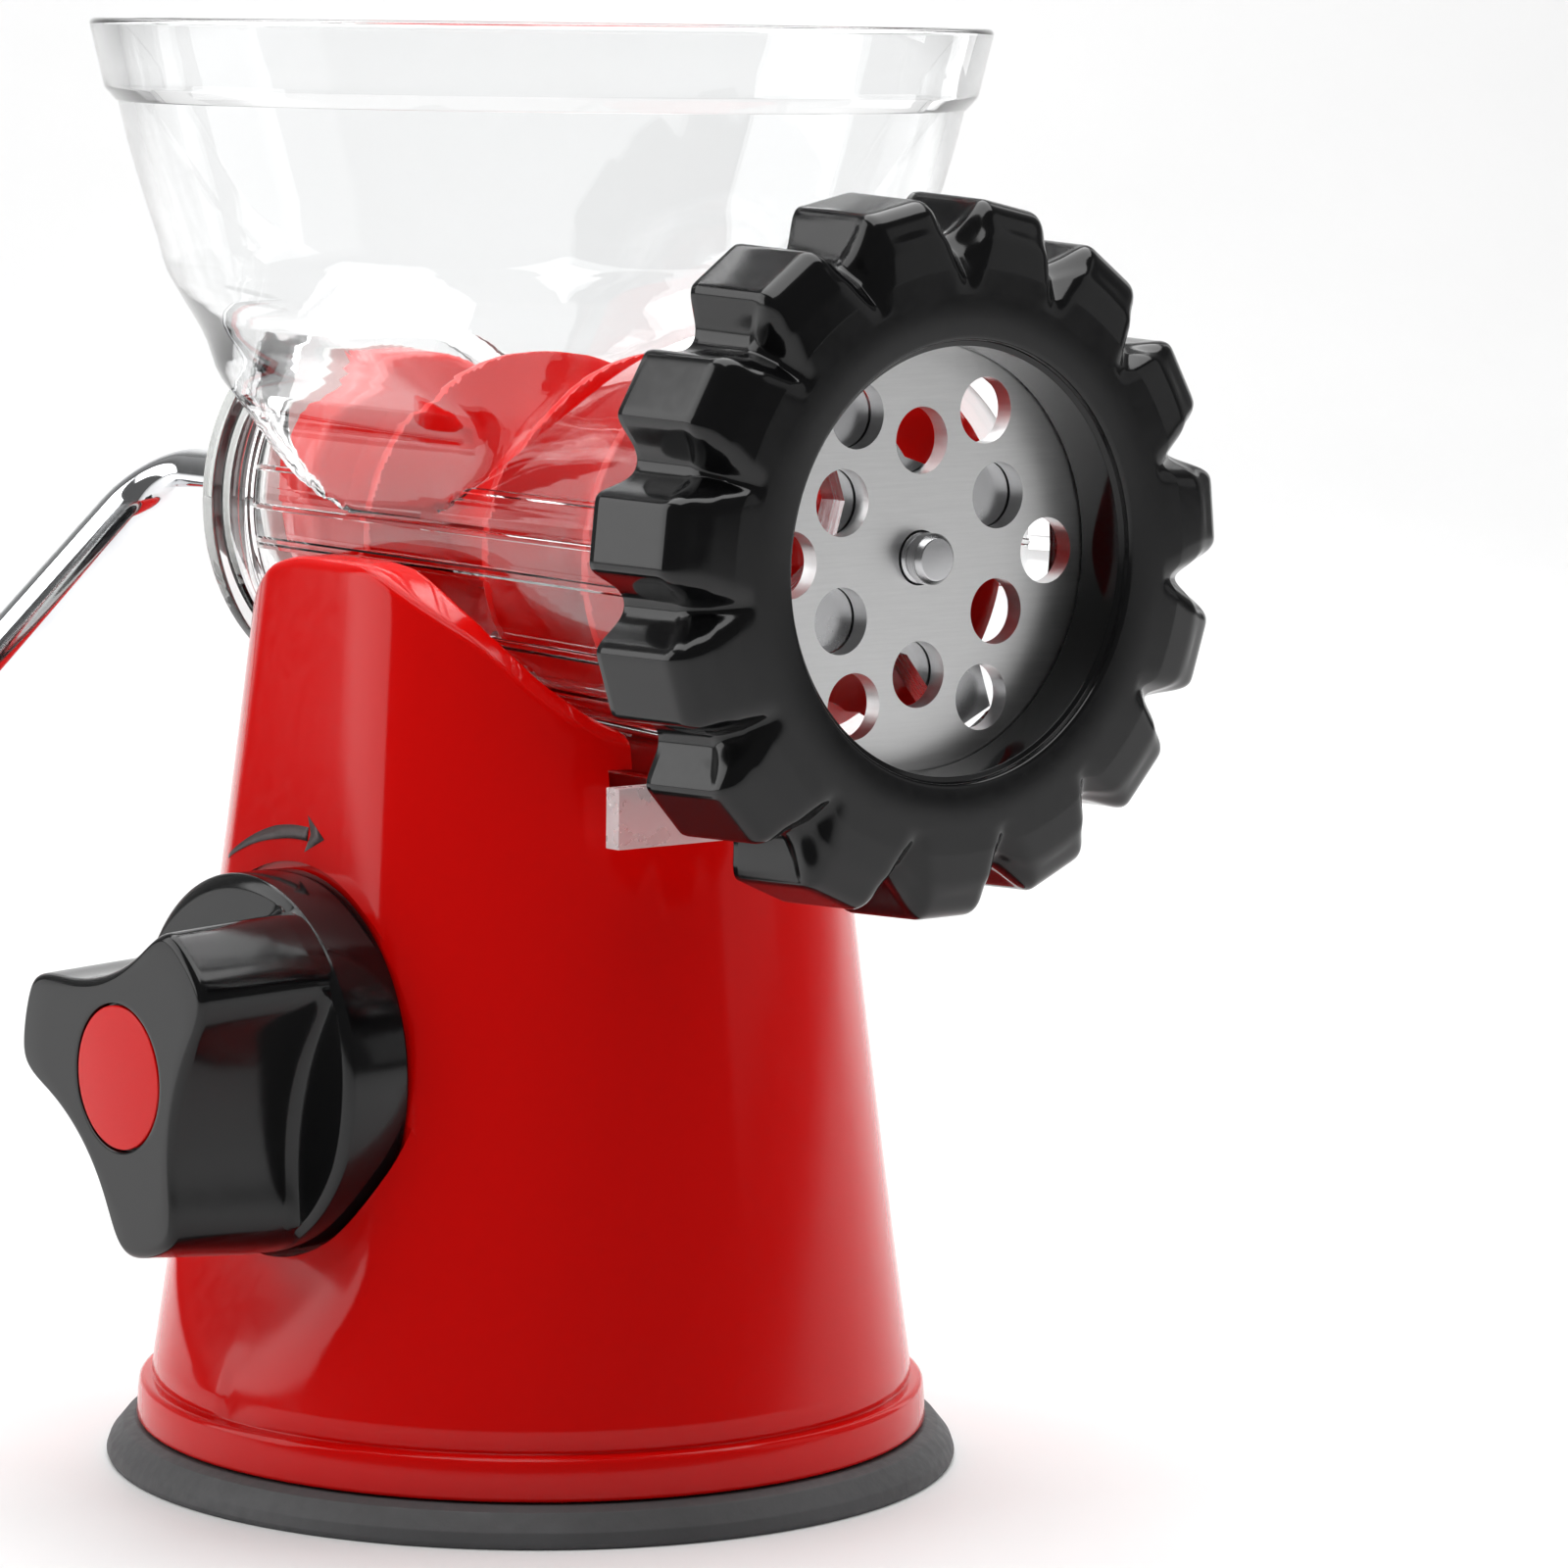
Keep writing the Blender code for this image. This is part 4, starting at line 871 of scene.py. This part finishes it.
def auger_radii(height, turns):
    """Radii of one section of the left-handed screw: thin crests with hollow flanks."""
    back = AUGER_FRONT - height
    share = back / (AUGER_FRONT - COLLAR_FRONT)
    crest = blend(AUGER_FRONT_R, AUGER_REAR_R, share)
    core = blend(CORE_FRONT_R, CORE_REAR_R, share)
    pitch = math.sqrt(169.0 + 14.4 * max(back - 6.5, 0.0))
    fade = min(1.0, max(0.0, (back - 1.0) / 5.0)) * min(1.0, max(0.0, (115.0 - back) / 10.0))
    turn = turns / (2 * math.pi) - flight_turns(back)
    away = np.abs((turn + 0.5) % 1.0 - 0.5) * pitch
    flank = np.clip((away - 1.1) / 6.4, 0, 1)
    rise = (1 - flank) ** 2.4
    edge = np.clip((away - 0.7) / 0.5, 0, 1)
    top = np.where(away < 1.2, 1 - 0.03 * edge**2, rise * 0.97)
    return core + (crest - core) * top * fade


def make_auger():
    steps, slices = (144, 330) if FINE else (48, 110)
    turns = full_turn(steps)
    rings = []

    def add(radii, height):
        rings.append(round_ring(radii, height, turns))

    add(PIN_R + GAP, AUGER_FRONT - 16.2)
    add(PIN_R + GAP, AUGER_FRONT)
    add(CORE_FRONT_R - 1.2, AUGER_FRONT)
    add(CORE_FRONT_R - 0.6, AUGER_FRONT - 0.2)
    for i in range(slices + 1):
        height = blend(AUGER_FRONT - 0.8, COLLAR_FRONT + 1.2, i / slices)
        add(auger_radii(height, turns), height)
    for r, h in rounded([
        (CORE_REAR_R + 0.4, COLLAR_FRONT + 0.8), (CORE_REAR_R + 3, COLLAR_FRONT, 0.8),
        (AUGER_COLLAR_R, COLLAR_FRONT, 2.2), (AUGER_COLLAR_R, AUGER_REAR, 1.6),
        (SOCKET_R, AUGER_REAR, 0.3), (SOCKET_R, AUGER_REAR + 20.3),
    ], 5):
        add(r, h)
    screw = skin("feed_screw", rings, along_barrel(), AUGER_RED, angle=50)
    for x, y in drive_pin_places():
        shape(screw, rod("drive_hole", DRIVE_PIN_R + GAP, 80.0, 95.0, along_barrel(), x, y, 24))
    stand_for(screw, "auger", "drive")


def drive_pin_places():
    places = []
    for side in (0, math.pi):
        angle = DRIVE_PIN_ANGLE + side
        places.append((DRIVE_PIN_PITCH_R * math.cos(angle), DRIVE_PIN_PITCH_R * math.sin(angle)))
    return places


def make_auger_fittings():
    tip = 99.6
    pin = lathe("centre_pin", [
        (0, tip), (PIN_R - 0.7, tip, 0.3), (PIN_R, tip - 0.9, 0.3), (PIN_R, tip - 2.6, 0.1),
        (PIN_R - 0.5, tip - 2.9, 0.1), (PIN_R - 0.5, tip - 3.5, 0.1), (PIN_R, tip - 3.8, 0.1),
        (PIN_R, AUGER_FRONT - 16), (0, AUGER_FRONT - 16),
    ], along_barrel(), STEEL, 64)
    stand_for(pin, "auger_pin", "drive")
    front, rear, outer = AUGER_REAR - GAP, -42.5, 20.5
    washer = lathe("white_washer", [
        (SOCKET_R, front, 0.2), (outer, front, 0.7), (outer, rear, 0.6),
        (SOCKET_R, rear, 0.2), (SOCKET_R, -41.0),
    ], along_barrel(), WHITE, wrap=True)
    stand_for(washer, "hub_washer", "drive")
    journal, crest, root = 11.35, 10.3, 9.4
    profile = [(0, -20.0), (8.0, -20.0, 0.5), (8.0, -42.8)]
    profile += [(journal, -42.8, 0.4), (journal, -64.0, 0.6), (root, -64.0, 0.2)]
    for k in range(3):
        low = -65.4 - 2.8 * k
        profile += [(crest, low, 0.2), (root, low - 1.4, 0.2)]
    profile.append((0, -72.4))
    shaft = lathe("white_shaft", profile, along_barrel(), WHITE)
    stand_for(shaft, "auger_shaft", "drive")


def make_cross_blade():
    outline = []
    for arm in range(4):
        turn = DRIVE_PIN_ANGLE + arm * math.pi / 2
        for along, across in ((13.5, -6.6), (BLADE_R - 0.8, -3.6), (BLADE_R - 0.4, 4.2), (13.5, 6.6)):
            x = along * math.cos(turn) - across * math.sin(turn)
            y = along * math.sin(turn) + across * math.cos(turn)
            outline.append((x, y))
    outlines = [outline, circle(0, 0, PIN_R + GAP, 48)]
    outlines += [circle(x, y, DRIVE_PIN_R + GAP, 32) for x, y in drive_pin_places()]
    blade = sheet_shape("knife", outlines, BLADE_REAR, BLADE_FRONT, along_barrel(), STEEL)
    stand_for(blade, "cross_blade", "drive")


def plate_radius(angle):
    nearest = math.remainder(angle, 2 * math.pi / EARS)
    offset = EAR_PITCH_R * math.sin(nearest)
    if abs(offset) < EAR_R:
        reach = EAR_PITCH_R * math.cos(nearest) + math.sqrt(EAR_R**2 - offset**2)
        return max(PLATE_R, reach)
    return PLATE_R


def make_coarse_plate():
    turns = [math.radians(degree) for degree in range(360)]
    outline = [(plate_radius(a) * math.cos(a), plate_radius(a) * math.sin(a)) for a in turns]
    holes = [circle(0, 0, PIN_R + GAP, 64)]
    for i in range(6):
        for share, shift in ((0.53, math.radians(30)), (0.755, 0.0)):
            angle = shift + i * math.pi / 3
            x, y = share * PLATE_R * math.cos(angle), share * PLATE_R * math.sin(angle)
            holes.append(circle(x, y, 0.152 * PLATE_R, 64))
    outlines = [outline] + holes
    plate = sheet_shape("cutting_plate", outlines, PLATE_REAR, PLATE_FRONT, along_barrel(), PLATE_STEEL)
    stand_for(plate, "coarse_plate", "plate")


# ---------------------------------------------------------------- ring nut


def nut_groove(away, width, ease, bottom):
    """0 on a lobe to 1 in the middle of a groove. The bottom is round at 2.3 and sharp at 1."""
    x = np.clip((away - (12.0 - width)) / width, 0, 1)
    eased = (np.sqrt(x * x + ease**2) - ease) / (math.sqrt(1 + ease**2) - ease)
    return 1 - (1 - eased) ** bottom


def matched(first, second, step):
    """Cuts the spans of two lines with as many points into equally many short pieces."""
    pairs = [(np.array(first[0]), np.array(second[0]))]
    for k in range(1, len(first)):
        a0, b0 = pairs[-1]
        a1, b1 = np.array(first[k]), np.array(second[k])
        count = max(1, math.ceil(max(np.linalg.norm(a1 - a0), np.linalg.norm(b1 - b0)) / step))
        pairs += [(blend(a0, a1, i / count), blend(b0, b1, i / count)) for i in range(1, count + 1)]
    return pairs


def make_ring_nut():
    per_lobe = 56 if FINE else 16
    local = 360.0 / NUT_LOBES * np.linspace(-0.5, 0.5, per_lobe, endpoint=False)
    middles = NUT_PHASE + full_turn(NUT_LOBES)
    turns = np.concatenate([middle + np.radians(local) for middle in middles])
    away = np.abs(np.tile(local, NUT_LOBES))
    lobe = rounded([
        (NUT_R - 0.5, NUT_REAR), (NUT_R - 0.1, NUT_REAR + 0.4, 0.2), (NUT_R, NUT_REAR + 1.5, 0.3),
        (NUT_R - 0.8, 103.2, 3.6), (48.5, 105.5, 5.0), (44.0, NUT_FRONT, 3.0), (40.5, NUT_FRONT),
    ], 6)
    groove = rounded([
        (NUT_R - 6.8, NUT_REAR), (NUT_R - 6.4, NUT_REAR + 0.4, 0.2), (NUT_R - 6.4, NUT_REAR + 1.5, 0.3),
        (NUT_R - 7.0, 99.0, 5.0), (45.2, 102.6, 4.0), (42.0, 105.1, 2.5), (40.5, NUT_FRONT),
    ], 6)
    rings = []
    flat = np.cos(np.radians(5.4)) / np.cos(np.radians(np.minimum(away, 5.4)))
    for (lr, lh), (gr, gh) in matched(lobe, groove, 0.8 if FINE else 3.0):
        width = 6.4 * np.clip((lr - 39.5) / 11.0, 0.3, 1.0) ** 0.6
        front = np.clip((lh - 101.0) / 4.5, 0.0, 1.0)
        dip = nut_groove(away, width, blend(0.15, 0.8, front), blend(2.3, 1.35, front))
        mix = softened(dip, blend(0.7, 1.0, front))
        rings.append(round_ring(blend(lr * (flat if lr > 50 else 1.0), gr, mix), blend(lh, gh, mix), turns))
    for r, h in rounded([
        (40.0, NUT_FRONT), (33.4, NUT_FRONT, 0.7), (33.1, 104.7, 0.2), (NUT_HOLE_R, 104.4, 0.2),
        (NUT_HOLE_R, NUT_LIP, 0.3), (NUT_BORE_R, NUT_LIP, 0.3), (NUT_BORE_R, NUT_REAR, 0.4), (42.0, NUT_REAR),
    ], 4):
        rings.append(round_ring(r, h, turns))
    nut = skin("lobed_nut", rings, along_barrel(), BLACK, wrap=True, angle=42)
    stand_for(nut, "ring_nut", "nut")


# ---------------------------------------------------------------- crank


def arm_direction():
    return Vector((-math.cos(ARM_DROP), 0.0, -math.sin(ARM_DROP)))


def bend(corner, arriving, leaving, steps):
    centre = corner - arriving * BEND_R + leaving * BEND_R
    points = []
    for i in range(steps + 1):
        angle = math.pi / 2 * i / steps
        points.append(centre - leaving * BEND_R * math.cos(angle) + arriving * BEND_R * math.sin(angle))
    return points


def make_crank():
    back, arm = Vector((0.0, 1.0, 0.0)), arm_direction()
    first = Vector((0.0, ARM_Y, AXIS_Z))
    second = first + arm * ARM_LENGTH
    path = [Vector((0.0, HUB_REAR - 4.4, AXIS_Z))]
    path += bend(first, back, arm, 20) + bend(second, arm, back, 20)
    path.append(Vector((second.x, ROD_END, second.z)))
    side = arm.cross(back)
    turns = full_turn(48 if FINE else 20)
    rings = []
    for i, point in enumerate(path):
        ahead = (path[min(i + 1, len(path) - 1)] - path[max(i - 1, 0)]).normalized()
        up = ahead.cross(side)
        rings.append(np.array([point + (side * math.cos(a) + up * math.sin(a)) * ROD_R for a in turns]))
    bent_rod = skin("bent_rod", rings, Matrix.Identity(4), CHROME)
    stand_for(bent_rod, "crank_rod", "drive")
    hub = lathe("hub", [
        (11.7, -HUB_FRONT, 0.4), (15.0, -HUB_FRONT, 0.8), (15.0, -70.0, 2.5), (9.0, -HUB_REAR, 1.2),
        (ROD_R + GAP, -HUB_REAR, 0.3), (ROD_R + GAP, -73.3), (10.7, -73.3), (10.7, -64.3), (11.7, -64.3),
    ], along_barrel(), BLACK, wrap=True)
    stand_for(hub, "crank_hub", "drive")


def make_grip():
    centre = arm_direction() * ARM_LENGTH
    place = along_barrel(centre.x, AXIS_Z + centre.z)
    bore, pocket, pocket_from = ROD_R + 0.45, 8.2, 195.0
    profile = [
        (bore, -GRIP_START, 0.3), (9.6, -GRIP_START, 1.2), (10.6, -130.0, 2.0), (11.2, -136.0, 6.0),
        (GRIP_R - 0.6, -150.0, 20.0), (GRIP_R, -168.0, 30.0), (GRIP_R - 0.8, -186.0, 20.0),
        (11.6, -200.0, 3.0), (10.0, -GRIP_END, 1.4), (pocket, -GRIP_END, 0.3),
        (pocket, -pocket_from, 0.2), (bore, -pocket_from),
    ]
    grip = lathe("handle", profile, place, BLACK, wrap=True)
    stand_for(grip, "grip", "handle_grip")
    cap_profile = [(0, -200.2), (7.8, -200.2), (7.8, -204.2, 0.8), (0, -GRIP_END)]
    cap = lathe("handle_cap", cap_profile, place, BLACK, 64)
    stand_for(cap, "grip_cap", "handle_grip")


# ---------------------------------------------------------------- lift spring


def make_spring():
    """A wire spring with closed ends. The lifting stud's collar squeezes it from below."""
    wire, radius, low, high, coils, tail = 0.9, 8.0, 20.3, 46.2, 6.0, 0.9
    sides, steps = (16, 360) if FINE else (8, 120)
    rings = []
    for i in range(steps + 1):
        coil = coils * i / steps
        rise = np.clip((coil - tail) / (coils - 2 * tail), 0, 1)
        height = blend(low + wire, high - wire, rise)
        out = np.array((math.cos(2 * math.pi * coil), math.sin(2 * math.pi * coil), 0.0))
        ring = [(radius + wire * math.cos(t)) * out + (0, 0, wire * math.sin(t)) for t in full_turn(sides)]
        rings.append(np.array(ring) + (0, 0, height))
    spring = skin("coil_spring", rings, upright(), STEEL)
    stand_for(spring, "lift_spring", "base")
    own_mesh(spring)


# ---------------------------------------------------------------- what stays as in the CAD


def finish_cad_nodes():
    """Materials on the CAD nodes that are shown as they are."""
    white = ("lift_guide", "knob_bush", "lift_cam")
    for name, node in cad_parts.items():
        node.data.materials.clear()
        node.data.materials.append(WHITE if name in white else STEEL)


# ---------------------------------------------------------------- stage, light and camera


def make_stage():
    floor_material, tree, shader = node_material("pale_floor")
    dress(tree, shader, two_tone(tree, noise(tree, 3.0), 0.80, 0.83))
    shader.inputs["Roughness"].default_value = 0.6
    mesh = bpy.data.meshes.new("floor")
    half, back, wall, curve = 3.0, 1.6, 2.2, 0.8
    profile = [(-half, 0.0)]
    for angle in np.linspace(0, math.pi / 2, 16):
        profile.append((back + curve * math.sin(angle), curve - curve * math.cos(angle)))
    profile.append((back + curve, wall))
    points = [(x, y, z) for y, z in profile for x in (-half, half)]
    faces = [(2 * i, 2 * i + 1, 2 * i + 3, 2 * i + 2) for i in range(len(profile) - 1)]
    mesh.from_pydata(points, [], faces)
    floor = put("floor", mesh, Matrix.Rotation(math.radians(-37), 4, "Z"), floor_material, 60)


def softbox(name, place, target, width, height, power, in_gloss=True):
    """A soft light. Without in_gloss it lights surfaces but doesn't show in their gloss."""
    light = bpy.data.lights.new(name, "AREA")
    light.shape = "RECTANGLE"
    light.size, light.size_y = width, height
    light.energy = power
    obj = bpy.data.objects.new(name, light)
    obj.location = place
    obj.rotation_euler = (Vector(target) - Vector(place)).to_track_quat("-Z", "Y").to_euler()
    obj.visible_glossy = in_gloss
    bpy.context.scene.collection.objects.link(obj)


def make_light():
    world = bpy.data.worlds.new("studio")
    bpy.context.scene.world = world
    world.use_nodes = True
    background = world.node_tree.nodes["Background"]
    background.inputs["Color"].default_value = (1, 1, 1, 1)
    place = world.node_tree.nodes.new("ShaderNodeTexCoord")
    behind = world.node_tree.nodes.new("ShaderNodeVectorMath")
    behind.operation = "DOT_PRODUCT"
    behind.inputs[1].default_value = (0.6, 0.8, 0.0)
    world.node_tree.links.new(place.outputs["Generated"], behind.inputs[0])
    level = spread(world.node_tree, behind.outputs["Value"], 0.12, 0.55, 0.3, 0.9)
    world.node_tree.links.new(level, background.inputs["Strength"])
    middle = (0, 0, 0.12)
    softbox("top_box", (0.1, 0.2, 1.9), (0.1, 0.2, 0), 2.4, 2.4, 60.0)
    softbox("rear_left_box", (-1.05, 0.75, 0.65), middle, 0.9, 1.2, 8.0)
    softbox("right_box", (1.15, 0.2, 0.6), middle, 0.25, 1.2, 1.0)
    softbox("front_box", (1.15, -1.15, 0.65), middle, 0.8, 1.1, 1.1)
    softbox("right_fill", (1.4, -0.6, 0.6), middle, 0.8, 1.2, 6.0, in_gloss=False)
    softbox("wall_box", (0.7, 0.95, 1.7), (1.4, 1.9, 0.5), 1.6, 0.9, 9.0)
    bpy.context.scene.view_settings.view_transform = "Standard"


def make_camera():
    azimuth, distance, height = math.radians(-36.93), 1.00175, 0.23666
    look, pitch, roll = math.radians(-39.24), math.radians(7.15), math.radians(0.75)
    ahead = Vector((-math.sin(look) * math.cos(pitch), math.cos(look) * math.cos(pitch), -math.sin(pitch)))
    right = Vector((math.cos(look), math.sin(look), 0.0))
    up = right.cross(ahead)
    right, up = right * math.cos(roll) + up * math.sin(roll), up * math.cos(roll) - right * math.sin(roll)
    data = bpy.data.cameras.new("photo_view")
    data.lens = 141.75
    data.sensor_width = 36.0
    camera = bpy.data.objects.new("photo_view", data)
    turn = Matrix((right, up, -ahead)).transposed().to_4x4()
    spot = Vector((distance * math.sin(azimuth), -distance * math.cos(azimuth), height))
    camera.matrix_world = Matrix.Translation(spot) @ turn
    bpy.context.scene.collection.objects.link(camera)
    bpy.context.scene.camera = camera


finish_cad_nodes()
make_base_shell()
make_arrow()
make_suction_cup()
make_knob()
make_barrel_hopper()
make_rear_bush()
make_auger()
make_auger_fittings()
make_cross_blade()
make_coarse_plate()
make_ring_nut()
make_crank()
make_grip()
make_spring()
make_stage()
make_light()
make_camera()
